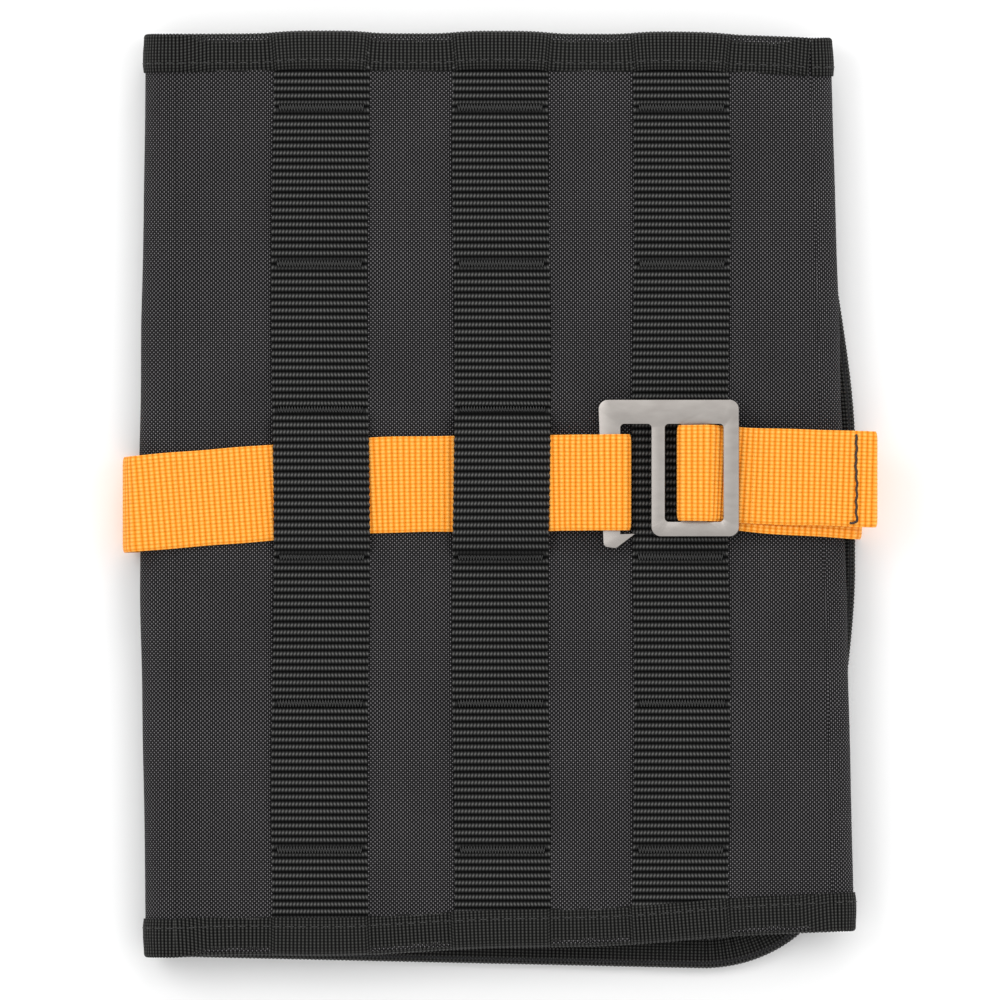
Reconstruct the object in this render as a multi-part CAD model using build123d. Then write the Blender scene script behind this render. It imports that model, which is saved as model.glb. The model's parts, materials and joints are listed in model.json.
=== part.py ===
from build123d import *
from math import atan, atan2, cos, degrees, radians, sin
import os

# A padded gear wrap, folded in three like a letter and lying on its back. Millimetres, +X to the
# right across the front, +Y up the front, +Z out of the front. Z = 0 is the underside of the strap
# that runs across the back. The layers are named from the back: strap, outer wing, inner wing,
# centre panel, ladder webbing and strap again.

# ---- driving dimensions ----------------------------------------------------------------------
panel_width, panel_height = 169.3, 241.0  # the centre panel between its folds, and along the left one
left_axis_x, left_bottom_y = -84.6, -119.0  # bottom of the line that the outer wing folds about
right_axis_turn = 1.53  # degrees; the inner wing's fold line leans towards the left at the top
right_top_drop, right_bottom_rise = 1.8, 6.7  # the right fold is shorter than the left one

fabric_t = 0.6  # woven polyester face
lining_t = 0.4
centre_foam_t = 3.2
wing_foam_t = 2.6
tape_t = 0.6  # binding tape, each side of the edge
tape_w = 10.0
edge_wrap = 1.0  # tape beyond the cut edge of the panel
layer_gap = 0.5  # between folded layers
pocket_t = 0.5
pocket_side = 12.0  # from the pocket to each fold
centre_pocket_h, inner_pocket_h = 135.0, 124.3
hem_w = 8.0

outer_reach = 7.3  # free edge of the outer wing, beyond the right fold line
outer_top_drop, outer_bottom_drop = 5.0, 3.88  # how the free side hangs, against the left fold
outer_corner_r = 40.0
inner_clear = 8.65  # inner wing against half of the panel, so that both wings can open at once
inner_taper = 1.5
inner_corner_r = 12.0

webbing_w = 25.0  # strap and ladder webbing
webbing_t = 1.3
ladder_t = 1.2
ladder_lift = 0.6  # slack of an empty loop
column_places = {"left": -46.45, "middle": 0.55, "right": 47.25}  # from the panel's middle line
row_space = 13.1  # what a loop is longer than the webbing that it takes
top_extra = 2.5  # the highest loop is this much longer
row_half = 1.2  # half the length that a bar-tack holds down
row_rise = 2.2  # from the bar-tack to full height
bartack_t = 0.3
bartack_inset = 1.5

strap_y = 4.3  # middle of the sewn loop, and of the ladder loops that the strap passes through
strap_left_y, strap_right_y = -0.4, 3.4  # middle of the strap where it goes round each side
strap_gap = 0.2
left_turn_reach = 13.4  # outside of the strap's turn, beyond the left fold line
right_turn_reach = 2.5  # outside of the other turn, beyond the outer wing's edge
tail_reach = 3.5  # cut end of the strap, beyond that turn
hem_stitch_in = 5.2  # line of stitches, in from the cut end
join_back = 10.6  # where the plain run meets the sewn loop, left of the middle column's middle
turn_bottom_r, turn_top_r = 2.0, 5.0

hook_t = 2.0
hook_left = 8.9  # left side of the hook, left of the right column's edge
hook_bottom_y, hook_foot_y = -9.4, -12.5
hook_top_bar, hook_bottom_bar = 6.2, 3.7
slot_clear = 0.5  # the slots are this much longer than the strap is wide
bar_widths = [5.7, 3.4, 5.7, 3.9]  # arm, middle bar, the bar that the strap goes round, end bar
gap_widths = [8.2, 4.9, 4.8]  # mouth, first slot, second slot
hook_lift = 0.5  # under the arm, inside the sewn loop
bar_lift = 0.18  # under the end bar
hook_corner_r = 2.4
hook_slot_r = 1.1

# ---- places that follow ------------------------------------------------------------------------
right_axis_x = left_axis_x + panel_width  # where the right fold line crosses Y = 0
left_top_y = left_bottom_y + panel_height
right_top_v, right_bottom_v = left_top_y - right_top_drop, left_bottom_y + right_bottom_rise
outer_free_x = right_axis_x + outer_reach
outer_free_top_y, outer_free_bottom_y = left_top_y - outer_top_drop, left_bottom_y - outer_bottom_drop
inner_width = panel_width / 2 - inner_clear
strap_left_x, strap_right_x = left_axis_x - left_turn_reach, outer_free_x + right_turn_reach
strap_tail_x = strap_right_x + tail_reach

columns = {name: left_axis_x + panel_width / 2 + x for name, x in column_places.items()}
ladder_pitch = webbing_w + row_space
row_above, row_below = strap_y + ladder_pitch / 2, strap_y - ladder_pitch / 2
rows = [row_below, row_above]
while rows[0] - ladder_pitch > left_bottom_y + right_bottom_rise + tape_w + row_space / 2:
    rows.insert(0, rows[0] - ladder_pitch)
while rows[-1] + ladder_pitch < left_top_y - tape_w - row_space / 2:
    rows.append(rows[-1] + ladder_pitch)
rows[-1] += top_extra

arm_w, middle_w, centre_w, end_w = bar_widths
hook_left_x = columns["right"] - webbing_w / 2 - hook_left
middle_bar_x = hook_left_x + arm_w + gap_widths[0]
slot_left = middle_bar_x + middle_w
centre_bar_x = slot_left + gap_widths[1]
bar_right = centre_bar_x + centre_w
end_bar_x = bar_right + gap_widths[2]
hook_right_x = end_bar_x + end_w
tail_start_x = hook_right_x + 3.5

# ---- heights of the layers ---------------------------------------------------------------------
outer_low = webbing_t + strap_gap + tape_t  # back of the outer wing's fabric
outer_top = outer_low + fabric_t + wing_foam_t + lining_t
inner_low = outer_top + 2 * tape_t + layer_gap
inner_top = inner_low + fabric_t + wing_foam_t + lining_t
centre_low = inner_top + 2 * tape_t + layer_gap + 0.1
face_z = centre_low + lining_t + centre_foam_t + fabric_t
left_axis_z, left_r = (face_z + outer_low) / 2, (face_z - outer_low) / 2
right_axis_z, right_r = (face_z + inner_low) / 2, (face_z - inner_low) / 2

front_strap_z = face_z + strap_gap + webbing_t / 2  # middle of the strap on the front
back_strap_z = webbing_t / 2
lower_layer_z = face_z + ladder_lift + ladder_t + 2 * strap_gap + webbing_t / 2
tail_z = lower_layer_z + webbing_t + 0.1
slot_bottom = hook_bottom_y + hook_bottom_bar
slot_top = slot_bottom + webbing_w + slot_clear
hook_top_y = slot_top + hook_top_bar
hook_strap_y = (slot_bottom + slot_top) / 2  # middle of the strap where it goes through the hook

# the hook's arm lies in the sewn loop, and its other end is held up by two layers of strap
arm_x = hook_left_x + arm_w / 2
hook_arm_z = front_strap_z + webbing_t / 2 + hook_lift + hook_t / 2
end_bar_z = tail_z + webbing_t / 2 + bar_lift + hook_t / 2
hook_slope = (end_bar_z - hook_arm_z) / (end_bar_x - arm_x)

right_frame = Pos(right_axis_x, 0, 0) * Rot(0, 0, right_axis_turn)
lean = radians(right_axis_turn)


def on_right_fold(v):
    """The point at distance v along the right fold's line."""
    return right_axis_x - v * sin(lean), v * cos(lean)


# ---- helpers -----------------------------------------------------------------------------------
def plate(points, low, high, radii=None):
    """A flat sheet with the outline given, from height low to high. radii rounds the corners named by number."""
    face = make_face(Polyline(*points, close=True))
    for corner, radius in (radii or {}).items():
        spot = Vector(*points[corner])
        nearest = face.vertices().sort_by_distance(spot)[0]
        face = fillet(nearest, radius)
    return Pos(0, 0, low) * extrude(face, high - low, dir=(0, 0, 1))


def across(face, y0, y1):
    """A section drawn as (x, z), carried from y0 to y1."""
    plane = Plane(origin=(0, y1, 0), x_dir=(1, 0, 0), z_dir=(0, -1, 0))
    return extrude(plane * face, y1 - y0)


def beside(points, radii, shift):
    """The line that runs at distance shift to the left of a path, with its corners' radii."""
    moved = []
    count = len(points)
    for n in range(count):
        before, here, after = points[max(n - 1, 0)], points[n], points[min(n + 1, count - 1)]
        way_in = atan2(here[1] - before[1], here[0] - before[0]) if n else None
        way_out = atan2(after[1] - here[1], after[0] - here[0]) if n < count - 1 else None
        way_in = way_out if way_in is None else way_in
        way_out = way_in if way_out is None else way_out
        half = (way_out - way_in + radians(540)) % radians(360) - radians(180)
        middle, reach = way_in + half / 2, shift / cos(half / 2)
        moved.append((here[0] - reach * sin(middle), here[1] + reach * cos(middle)))
        if 0 < n < count - 1:
            radii[n - 1] += -shift if half > 0 else shift
    return moved, radii


def ribbon(points, thickness, y0, y1, radii=None):
    """A strap seen edge on: a path of (x, z) points with a thickness, as wide as y0 to y1."""
    edges = []
    ends = []
    for side in (thickness / 2, -thickness / 2):
        line, corner_radii = beside(points, list(radii or [0] * (len(points) - 2)), side)
        if radii:
            edges += FilletPolyline(*line, radius=corner_radii).edges()
        else:
            edges += Polyline(*line).edges() if len(line) > 2 else [Edge.make_line(line[0], line[1])]
        ends.append((line[0], line[-1]))
    edges.append(Edge.make_line(ends[0][0], ends[1][0]))
    edges.append(Edge.make_line(ends[0][1], ends[1][1]))
    return across(make_face(edges), y0, y1)


def half_ring(x, z, inner, outer, y0, y1, side):
    """Half of a tube about a fold line, bulging to the left with side -1 or to the right with side 1."""
    start = 90 if side < 0 else -90
    edges = [CenterArc((x, z), radius, start, 180).edge() for radius in (inner, outer)]
    edges.append(Edge.make_line((x, z + inner), (x, z + outer)))
    edges.append(Edge.make_line((x, z - inner), (x, z - outer)))
    return across(make_face(edges), y0, y1)


def fold_tape(x, z, radius, edge, inward, side):
    """Binding tape that carries on round a fold: a folded strip over the end of the fold's layers."""
    layers = fabric_t + lining_t
    inner = sorted((edge, edge + inward * tape_w))
    cut = sorted((edge + inward * edge_wrap, edge + inward * (tape_w + 1)))
    strip = half_ring(x, z, radius - layers - tape_t, radius + tape_t, *inner, side)
    return strip - half_ring(x, z, radius - layers, radius, *cut, side)


os.makedirs("parts", exist_ok=True)
made = {}


def keep(name, solid):
    """Writes one sub-part to its own file."""
    made[name] = solid
    export_step(solid, f"parts/{name}.step")


# ---- centre panel ------------------------------------------------------------------------------
def centre_outline(from_top, from_bottom):
    """The centre panel between its two fold lines, cut back from its top and bottom edges."""
    return [
        (left_axis_x, left_top_y - from_top),
        on_right_fold(right_top_v - from_top),
        on_right_fold(right_bottom_v + from_bottom),
        (left_axis_x, left_bottom_y + from_bottom),
    ]


panel = centre_outline(edge_wrap, edge_wrap)
lining_z, foam_z = centre_low + lining_t, face_z - fabric_t
keep("centre_lining", plate(panel, centre_low, lining_z))
keep("centre_foam", plate(panel, lining_z, foam_z))
keep("centre_outer_fabric", plate(panel, foam_z, face_z))

whole_panel = plate(panel, centre_low, face_z)
tape_low, tape_high = centre_low - tape_t, face_z + tape_t
outline = centre_outline(0, 0)
top_strip = outline[:2] + [centre_outline(tape_w, 0)[1], centre_outline(tape_w, 0)[0]]
bottom_strip = [centre_outline(0, tape_w)[3], centre_outline(0, tape_w)[2]] + outline[2:]
keep("centre_top_binding", plate(top_strip, tape_low, tape_high) - whole_panel)
keep("centre_bottom_binding", plate(bottom_strip, tape_low, tape_high) - whole_panel)

# pocket inside, on the lining, with its taped mouth
pocket_x0, pocket_x1 = left_axis_x + pocket_side, right_axis_x - pocket_side
pocket_y0 = left_bottom_y + tape_w + hem_w
pocket_y1 = pocket_y0 + centre_pocket_h


def pocket(x0, x1, y0, y1, low):
    """A flat pocket sewn to a lining, and the folded tape along its mouth."""
    body = plate([(x0, y0), (x1, y0), (x1, y1), (x0, y1)], low, low + pocket_t)
    hem = plate([(x0, y1), (x1, y1), (x1, y1 + hem_w), (x0, y1 + hem_w)], low, low + pocket_t)
    return body, hem


centre_pocket, centre_hem = pocket(pocket_x0, pocket_x1, pocket_y0, pocket_y1, centre_low - pocket_t)
keep("centre_pocket", centre_pocket)
keep("centre_pocket_hem", centre_hem)

# ---- ladder webbing ----------------------------------------------------------------------------

def ladder(middle_x, strap_lift):
    """One column: webbing held down at each bar-tack and lifted between them, more where the strap passes."""
    end_low, end_high = left_bottom_y - tape_w, left_top_y + tape_w
    line = [(end_low, 0)]
    for row, next_row in zip(rows, rows[1:]):
        lift = strap_lift if row == row_below else ladder_lift
        rise = row_half + row_rise
        line += [(row + row_half, 0), (row + rise, lift), (next_row - rise, lift), (next_row - row_half, 0)]
    line.append((end_high, 0))
    section = line + [(y, z + ladder_t) for y, z in reversed(line)]
    x0, x1 = middle_x - webbing_w / 2, middle_x + webbing_w / 2
    face = make_face(Polyline(*[(x0, y, face_z + z) for y, z in section], close=True))
    return extrude(face, x1 - x0, dir=(1, 0, 0)) - top_end - bottom_end


# the column ends at the inner edge of each tape
far = 60.0
top_end = plate(
    [(left_axis_x, left_top_y + far), (on_right_fold(right_top_v)[0], right_top_v + far)]
    + [centre_outline(tape_w, 0)[1], centre_outline(tape_w, 0)[0]],
    face_z - 1,
    face_z + 10,
)
bottom_end = plate(
    [centre_outline(0, tape_w)[3], centre_outline(0, tape_w)[2]]
    + [(on_right_fold(right_bottom_v)[0], right_bottom_v - far), (left_axis_x, left_bottom_y - far)],
    face_z - 1,
    face_z + 10,
)


def bartacks(middle_x):
    """The six rows of zigzag thread across a column."""
    half, low = webbing_w / 2 - bartack_inset, face_z + ladder_t
    tacks = []
    for row in rows:
        corners = [(middle_x - half, row - row_half), (middle_x + half, row - row_half)]
        corners += [(middle_x + half, row + row_half), (middle_x - half, row + row_half)]
        tacks.append(plate(corners, low, low + bartack_t))
    return Compound(tacks)


single_lift = 2 * strap_gap + webbing_t + 0.1
double_lift = single_lift + webbing_t + 0.1
lifts = {"left": single_lift, "middle": double_lift, "right": ladder_lift}
for name, middle_x in columns.items():
    keep(f"ladder_webbing_{name}", ladder(middle_x, lifts[name]))
    keep(f"ladder_bartacks_{name}", bartacks(middle_x))

# ---- folds -------------------------------------------------------------------------------------
left_fold = (left_axis_x, left_axis_z)
fold_ends = (left_bottom_y + edge_wrap, left_top_y - edge_wrap)
keep("left_fold_fabric", half_ring(*left_fold, left_r - fabric_t, left_r, *fold_ends, -1))
inside = left_r - fabric_t - lining_t
keep("left_fold_lining", half_ring(*left_fold, inside, left_r - fabric_t, *fold_ends, -1))
keep("left_fold_top_binding", fold_tape(*left_fold, left_r, left_top_y, -1, -1))
keep("left_fold_bottom_binding", fold_tape(*left_fold, left_r, left_bottom_y, 1, -1))

right_fold = (0, right_axis_z)
fold_ends = (right_bottom_v + edge_wrap, right_top_v - edge_wrap)
inside = right_r - fabric_t - lining_t
for name, solid in (
    ("fabric", half_ring(*right_fold, right_r - fabric_t, right_r, *fold_ends, 1)),
    ("lining", half_ring(*right_fold, inside, right_r - fabric_t, *fold_ends, 1)),
    ("top_binding", fold_tape(*right_fold, right_r, right_top_v, -1, 1)),
    ("bottom_binding", fold_tape(*right_fold, right_r, right_bottom_v, 1, 1)),
):
    keep(f"right_fold_{name}", right_frame * solid)


# ---- wings -------------------------------------------------------------------------------------
def wing(root, free, root_ends, free_ends, corner_r, low, high, inset):
    """A wing between its fold line and its free edge, with two round corners, cut back by inset."""
    (root_top, root_bottom), (free_top, free_bottom) = root_ends, free_ends
    outward = 1 if free > root else -1
    edge = free - outward * inset
    share = abs(edge - root) / abs(free - root)
    top = root_top + (free_top - root_top) * share - inset
    bottom = root_bottom + (free_bottom - root_bottom) * share + inset
    corners = [(root, root_top - inset), (edge, top), (edge, bottom), (root, root_bottom + inset)]
    return plate(corners, low, high, {1: corner_r - inset, 2: corner_r - inset})


def wing_parts(name, low, place, *outline):
    """The four layers of a wing: face fabric at the back, foam, lining, and tape round its edge."""
    heights = [low, low + fabric_t, low + fabric_t + wing_foam_t]
    heights.append(heights[-1] + lining_t)
    for layer, z0, z1 in zip(("fabric", "foam", "lining"), heights, heights[1:]):
        keep(f"{name}_{layer}", place * wing(*outline, z0, z1, edge_wrap))
    tape = wing(*outline, low - tape_t, heights[-1] + tape_t, 0)
    tape -= wing(*outline, low - 2 * tape_t, heights[-1] + 2 * tape_t, tape_w)
    keep(f"{name}_edge_binding", place * (tape - wing(*outline, low, heights[-1], edge_wrap)))


outer_ends = ((left_top_y, left_bottom_y), (outer_free_top_y, outer_free_bottom_y))
wing_parts("outer_wing", outer_low, Pos(0, 0, 0), left_axis_x, outer_free_x, *outer_ends, outer_corner_r)

inner_ends = (
    (right_top_v, right_bottom_v),
    (right_top_v - inner_taper, right_bottom_v + inner_taper),
)
wing_parts("inner_wing", inner_low, right_frame, 0, -inner_width, *inner_ends, inner_corner_r)

inner_y0 = right_bottom_v + tape_w + hem_w
inner_x0 = tape_w + inner_corner_r / 3 - inner_width
inner_pocket, inner_hem = pocket(inner_x0, -hem_w, inner_y0, inner_y0 + inner_pocket_h, inner_top)
keep("inner_wing_pocket", right_frame * inner_pocket)
keep("inner_wing_pocket_hem", right_frame * inner_hem)

# ---- strap -------------------------------------------------------------------------------------
half_t = webbing_t / 2
loop_top_z = hook_arm_z + hook_t / 2 + 0.6 + half_t  # strap above the hook's arm
over_tail_z = front_strap_z + webbing_t + 0.05
strap_join_x = columns["middle"] - join_back
column_edge = columns["middle"] + webbing_w / 2
loop_x = columns["right"] - webbing_w / 2 - 2 * strap_gap - half_t
arm_clear_x = hook_left_x - 3.4


def strap(points, middle_y, radii=None):
    """A length of strap along (x, z) points."""
    return ribbon(points, webbing_t, middle_y - webbing_w / 2, middle_y + webbing_w / 2, radii)


def flat_strap(line, z):
    """A length of strap that lies flat at height z and bends sideways along (x, y) points."""
    upper = [(x, y + webbing_w / 2) for x, y in line]
    lower = [(x, y - webbing_w / 2) for x, y in reversed(line)]
    return plate(upper + lower, z - half_t, z + half_t)


straight_x = columns["left"] + webbing_w / 2
front_line = [(left_axis_x, strap_left_y), (straight_x, strap_y), (strap_join_x, strap_y)]
keep("strap_front_run", flat_strap(front_line, front_strap_z))
loop_path = [
    (strap_join_x, front_strap_z),
    (strap_join_x + 1, front_strap_z),
    (strap_join_x + 5, over_tail_z),
    (column_edge, over_tail_z),
    (arm_clear_x, loop_top_z),
    (loop_x, loop_top_z),
    (loop_x, front_strap_z),
    (strap_join_x + 7, front_strap_z),
]
loop_r = (loop_top_z - front_strap_z) / 2 - 0.1
keep("strap_end_loop", strap(loop_path, strap_y, [2, 2, 3, 3, loop_r, loop_r]))
tack_x, tack_w = columns["middle"], 6.0
tack_low = over_tail_z + half_t
tack = Box(tack_w, webbing_w - 4, 0.2, align=(Align.CENTER, Align.CENTER, Align.MIN))
keep("strap_loop_bartack", Pos(tack_x, strap_y, tack_low) * tack)

turn_x = strap_left_x + half_t
turn_r = (front_strap_z - back_strap_z) / 2 - 0.1
left_turn = [
    (left_axis_x, front_strap_z),
    (turn_x, front_strap_z),
    (turn_x, back_strap_z),
    (left_axis_x, back_strap_z),
]
keep("strap_left_turn", strap(left_turn, strap_left_y, [turn_r, turn_r]))

back_end_x = outer_free_x - 8
back_line = [(left_axis_x, strap_left_y), (back_end_x, strap_right_y)]
keep("strap_back_run", flat_strap(back_line, back_strap_z))
turn_x = strap_right_x - half_t
right_turn = [
    (back_end_x, back_strap_z),
    (turn_x, back_strap_z),
    (turn_x, lower_layer_z),
    (back_end_x, lower_layer_z),
]
keep("strap_right_turn", strap(right_turn, strap_right_y, [turn_bottom_r, turn_top_r]))
lower_line = [(tail_start_x, hook_strap_y), (back_end_x, strap_right_y)]
keep("strap_lower_layer", flat_strap(lower_line, lower_layer_z))
keep("strap_tail", strap([(tail_start_x, tail_z), (strap_tail_x, tail_z)], hook_strap_y))
stitch = Box(0.8, webbing_w - 2, bartack_t, align=(Align.CENTER, Align.CENTER, Align.MIN))
keep("tail_hem_stitch", Pos(strap_tail_x - hem_stitch_in, hook_strap_y, tail_z + half_t) * stitch)


def hook_middle_z(x):
    """Height of the middle of the hook's plate."""
    return hook_arm_z + (x - arm_x) * hook_slope


# the strap goes up through the slot, over the hidden bar, down again and out under the end bar
over_left_z = hook_middle_z(centre_bar_x) + hook_t / 2 + 0.5 + half_t
over_right_z = hook_middle_z(bar_right) + hook_t / 2 + 0.4 + half_t
rise_x = slot_left + 1.3 + half_t
slider_path = [
    (tail_start_x, lower_layer_z),
    (rise_x, lower_layer_z),
    (rise_x, over_left_z),
    (bar_right + 0.6, over_right_z),
    (end_bar_x - 0.7, tail_z),
    (tail_start_x, tail_z),
]
slider_r = (over_left_z - lower_layer_z) / 2 - 0.2
keep("strap_slider_loop", strap(slider_path, hook_strap_y, [slider_r, slider_r, 1.2, 1.2]))

# ---- hook --------------------------------------------------------------------------------------
mouth_x, strap_low_y = hook_left_x + arm_w, strap_y - webbing_w / 2
hook_outline = [
    (hook_left_x, hook_top_y),
    (hook_right_x, hook_top_y),
    (hook_right_x, hook_bottom_y),
    (middle_bar_x, hook_bottom_y),
    (middle_bar_x, slot_top),
    (mouth_x, slot_top),
    (mouth_x, strap_low_y - 0.7),
    (mouth_x + 3.8, strap_low_y - 0.6),
    (hook_left_x + 4.6, hook_foot_y),
    (hook_left_x + 1.4, hook_foot_y + 0.4),
]
hook_round = {corner: hook_corner_r for corner in range(4)}
hook_round.update({4: hook_slot_r, 5: hook_slot_r, 8: 1.2, 9: 1.2})
plate_low = -hook_t / 2
hook = plate(hook_outline, plate_low, hook_t / 2, hook_round)
for x0, x1 in ((slot_left, centre_bar_x), (bar_right, end_bar_x)):
    slot = [(x0, slot_bottom), (x1, slot_bottom), (x1, slot_top), (x0, slot_top)]
    hook -= plate(slot, plate_low - 1, hook_t / 2 + 1, {n: hook_slot_r for n in range(4)})
tilt = Rot(0, -degrees(atan(hook_slope)), 0)
keep("g_hook", Pos(arm_x, 0, hook_arm_z) * tilt * Pos(-arm_x, 0, 0) * hook)

# ---- what was made -----------------------------------------------------------------------------
everything = Compound(list(made.values()))
box = everything.bounding_box()
print("nodes", len(made))
print("box", [round(v, 3) for v in (*box.min, *box.max)])
print("left fold line: x", left_axis_x, "z", round(left_axis_z, 3))
print("right fold line: x", right_axis_x, "z", round(right_axis_z, 3))
print("face", round(face_z, 3), "tail", round(tail_z, 3), "lower layer", round(lower_layer_z, 3))
print("fold width", round(right_axis_x - left_axis_x, 1), "inner wing", inner_width)
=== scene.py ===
# %% [markdown]
# # A padded gear wrap, dressed around its CAD frame
# The wrap is folded in three like a letter and lies on its back, with three columns of ladder
# webbing on its front and an orange strap closed by a flat metal hook. The CAD model gives every
# size and place. Each soft piece is worked out here as a surface: a function of two parameters,
# evaluated on a grid with numpy.

# %% Loading the frame
import json

import bmesh
import bpy
import numpy as np
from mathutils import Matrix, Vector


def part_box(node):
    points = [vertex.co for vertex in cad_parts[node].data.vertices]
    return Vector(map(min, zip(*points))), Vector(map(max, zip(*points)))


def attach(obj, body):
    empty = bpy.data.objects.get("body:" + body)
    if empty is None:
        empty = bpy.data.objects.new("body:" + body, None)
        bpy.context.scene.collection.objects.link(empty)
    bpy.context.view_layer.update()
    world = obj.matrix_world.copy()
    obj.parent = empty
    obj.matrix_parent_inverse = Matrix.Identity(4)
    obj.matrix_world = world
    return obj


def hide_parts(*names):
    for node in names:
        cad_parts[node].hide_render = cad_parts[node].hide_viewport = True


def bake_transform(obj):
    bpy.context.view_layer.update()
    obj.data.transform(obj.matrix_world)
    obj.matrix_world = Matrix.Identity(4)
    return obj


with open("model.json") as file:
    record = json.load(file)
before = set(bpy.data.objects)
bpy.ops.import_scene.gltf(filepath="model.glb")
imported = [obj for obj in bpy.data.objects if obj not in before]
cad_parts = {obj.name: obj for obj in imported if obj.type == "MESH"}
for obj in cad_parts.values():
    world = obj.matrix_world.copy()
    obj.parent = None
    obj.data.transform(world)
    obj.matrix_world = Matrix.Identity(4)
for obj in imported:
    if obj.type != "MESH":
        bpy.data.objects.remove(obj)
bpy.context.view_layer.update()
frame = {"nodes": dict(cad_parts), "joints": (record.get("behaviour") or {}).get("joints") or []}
MM = 0.001

# %% [markdown]
# ## Fold lines and edges
# The two wings fold about two straight lines. The left one runs along +Y. The right one leans a
# little, so the panel between them is a skewed rectangle. Everything on the front is placed with
# two numbers: u from the left line to the right line, and v from the bottom edge to the top edge.

# %% Measures taken from the frame
joints = {j["name"]: j for j in frame["joints"]}
left_x, _, left_z = joints["outer_wing_fold"]["pos_m"]
right_x, _, right_z = joints["inner_wing_fold"]["pos_m"]
lean_sin, lean_cos = (abs(c) for c in joints["inner_wing_fold"]["axis"][:2])
face_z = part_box("centre_outer_fabric")[1][2]
back_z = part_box("centre_lining")[0][2]
outer_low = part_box("outer_wing_fabric")[0][2]
outer_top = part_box("outer_wing_lining")[1][2]
inner_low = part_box("inner_wing_fabric")[0][2]
inner_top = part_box("inner_wing_lining")[1][2]
CORNER_DROP = 0.8 * MM
left_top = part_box("left_fold_top_binding")[1][1] - CORNER_DROP
left_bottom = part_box("left_fold_bottom_binding")[0][1]
TAPE, TAPE_W, FABRIC, LINING = 0.6 * MM, 10 * MM, 0.6 * MM, 0.4 * MM
PAST, TUCK, EDGE_IN = 0.5 * MM, 0.6 * MM, 1.0 * MM
left_r, right_r = face_z - left_z, face_z - right_z
right_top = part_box("right_fold_top_binding")[1][1] - (right_r + TAPE) * lean_sin
right_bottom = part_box("right_fold_bottom_binding")[0][1]
COLUMNS = [sum(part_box(f"ladder_webbing_{n}")[k][0] for k in (0, 1)) / 2 for n in ("left", "middle", "right")]
HALF = 12.5 * MM
print("fold lines at x", round(left_x, 4), round(right_x, 4), "columns", np.round(COLUMNS, 4))


def smooth(t):
    """0 below 0, 1 above 1, and 3t^2 - 2t^3 between."""
    t = np.clip(t, 0, 1)
    return t * t * (3 - 2 * t)


def front_xy(u, v):
    """Straight lines between the fold lines. The top edge rises by a root of u and over each column, and
    the bottom edge sags. Both die out at the folds."""
    across = right_bottom + v * (right_top - right_bottom)
    x = left_x + u * (right_x - across * lean_sin - left_x)
    y_left = left_bottom + v * (left_top - left_bottom)
    y = y_left + u * (across * lean_cos - y_left)
    still = 1 - (2 * u - 1) ** 6
    bumps = sum(np.exp(-(((x - c) / (13 * MM)) ** 4)) for c in COLUMNS)
    top = 0.9 * MM * np.sqrt(np.clip(u, 0, 1)) + 0.7 * MM * bumps
    low = -1.15 * MM * (1 - (2 * u - 1) ** 2) + 0.35 * MM * np.sin(x / (11 * MM) + 2)
    return x, y + still * (top * smooth(6 * v - 5) + low * smooth(1 - 6 * v))


# %% [markdown]
# ## From grids to meshes
# A shell is two grids of points, an outer and an inner one, sewn along their four borders. A
# carried section is a closed outline repeated along a path. Both end up as plain arrays of
# corners and faces, and their signed volume says whether the faces point outwards.

# %% Mesh helpers
def travelled(points):
    """Length along a line of points, from its start to each of them: a running sum of the gaps."""
    return np.concatenate([[0], np.cumsum(np.linalg.norm(np.diff(points, axis=0), axis=1))])


def new_piece(name, points, faces, uv=None, fields=None, ends=(), rim=0):
    """A mesh from corner and quad arrays. Its volume, a sum of corner . (corner x corner) / 6, is turned
    positive. The last rim quads and the ends are flat shaded."""
    tri = np.concatenate([faces[:, [0, 1, 2]], faces[:, [0, 2, 3]]])
    a, b, c = (points[tri[:, k]] for k in range(3))
    if (a * np.cross(b, c)).sum() < 0:
        faces = faces[:, ::-1]
        ends = [end[::-1] for end in ends]
    corners = np.concatenate([faces.ravel(), *ends]).astype(np.int32)
    sizes = np.concatenate([np.full(len(faces), 4), [len(end) for end in ends]]).astype(np.int32)
    mesh = bpy.data.meshes.new(name)
    mesh.vertices.add(len(points))
    mesh.vertices.foreach_set("co", points.astype(np.float32).ravel())
    mesh.loops.add(len(corners))
    mesh.loops.foreach_set("vertex_index", corners)
    mesh.polygons.add(len(sizes))
    mesh.polygons.foreach_set("loop_start", np.concatenate([[0], np.cumsum(sizes)[:-1]]).astype(np.int32))
    mesh.polygons.foreach_set("use_smooth", np.arange(len(sizes)) < len(faces) - rim)
    if uv is not None:
        mesh.uv_layers.new(name="Cloth").data.foreach_set("uv", uv[corners].astype(np.float32).ravel())
    for field, values in (fields or {}).items():
        spot = mesh.attributes.new(field, "FLOAT", "POINT")
        spot.data.foreach_set("value", values.astype(np.float32).ravel())
    mesh.update()
    mesh.validate()
    piece = bpy.data.objects.new(name, mesh)
    bpy.context.scene.collection.objects.link(piece)
    return piece


def grid_faces(rows, columns, wrap=False, start=0):
    """Quads between neighbours on a grid. With wrap, the last column meets the first."""
    r = np.arange(rows - 1)[:, None]
    c = np.arange(columns if wrap else columns - 1)[None, :]
    d = (c + 1) % columns
    here, above = r * columns, (r + 1) * columns
    quads = np.stack(np.broadcast_arrays(here + c, here + d, above + d, above + c), -1)
    return quads.reshape(-1, 4) + start


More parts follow.
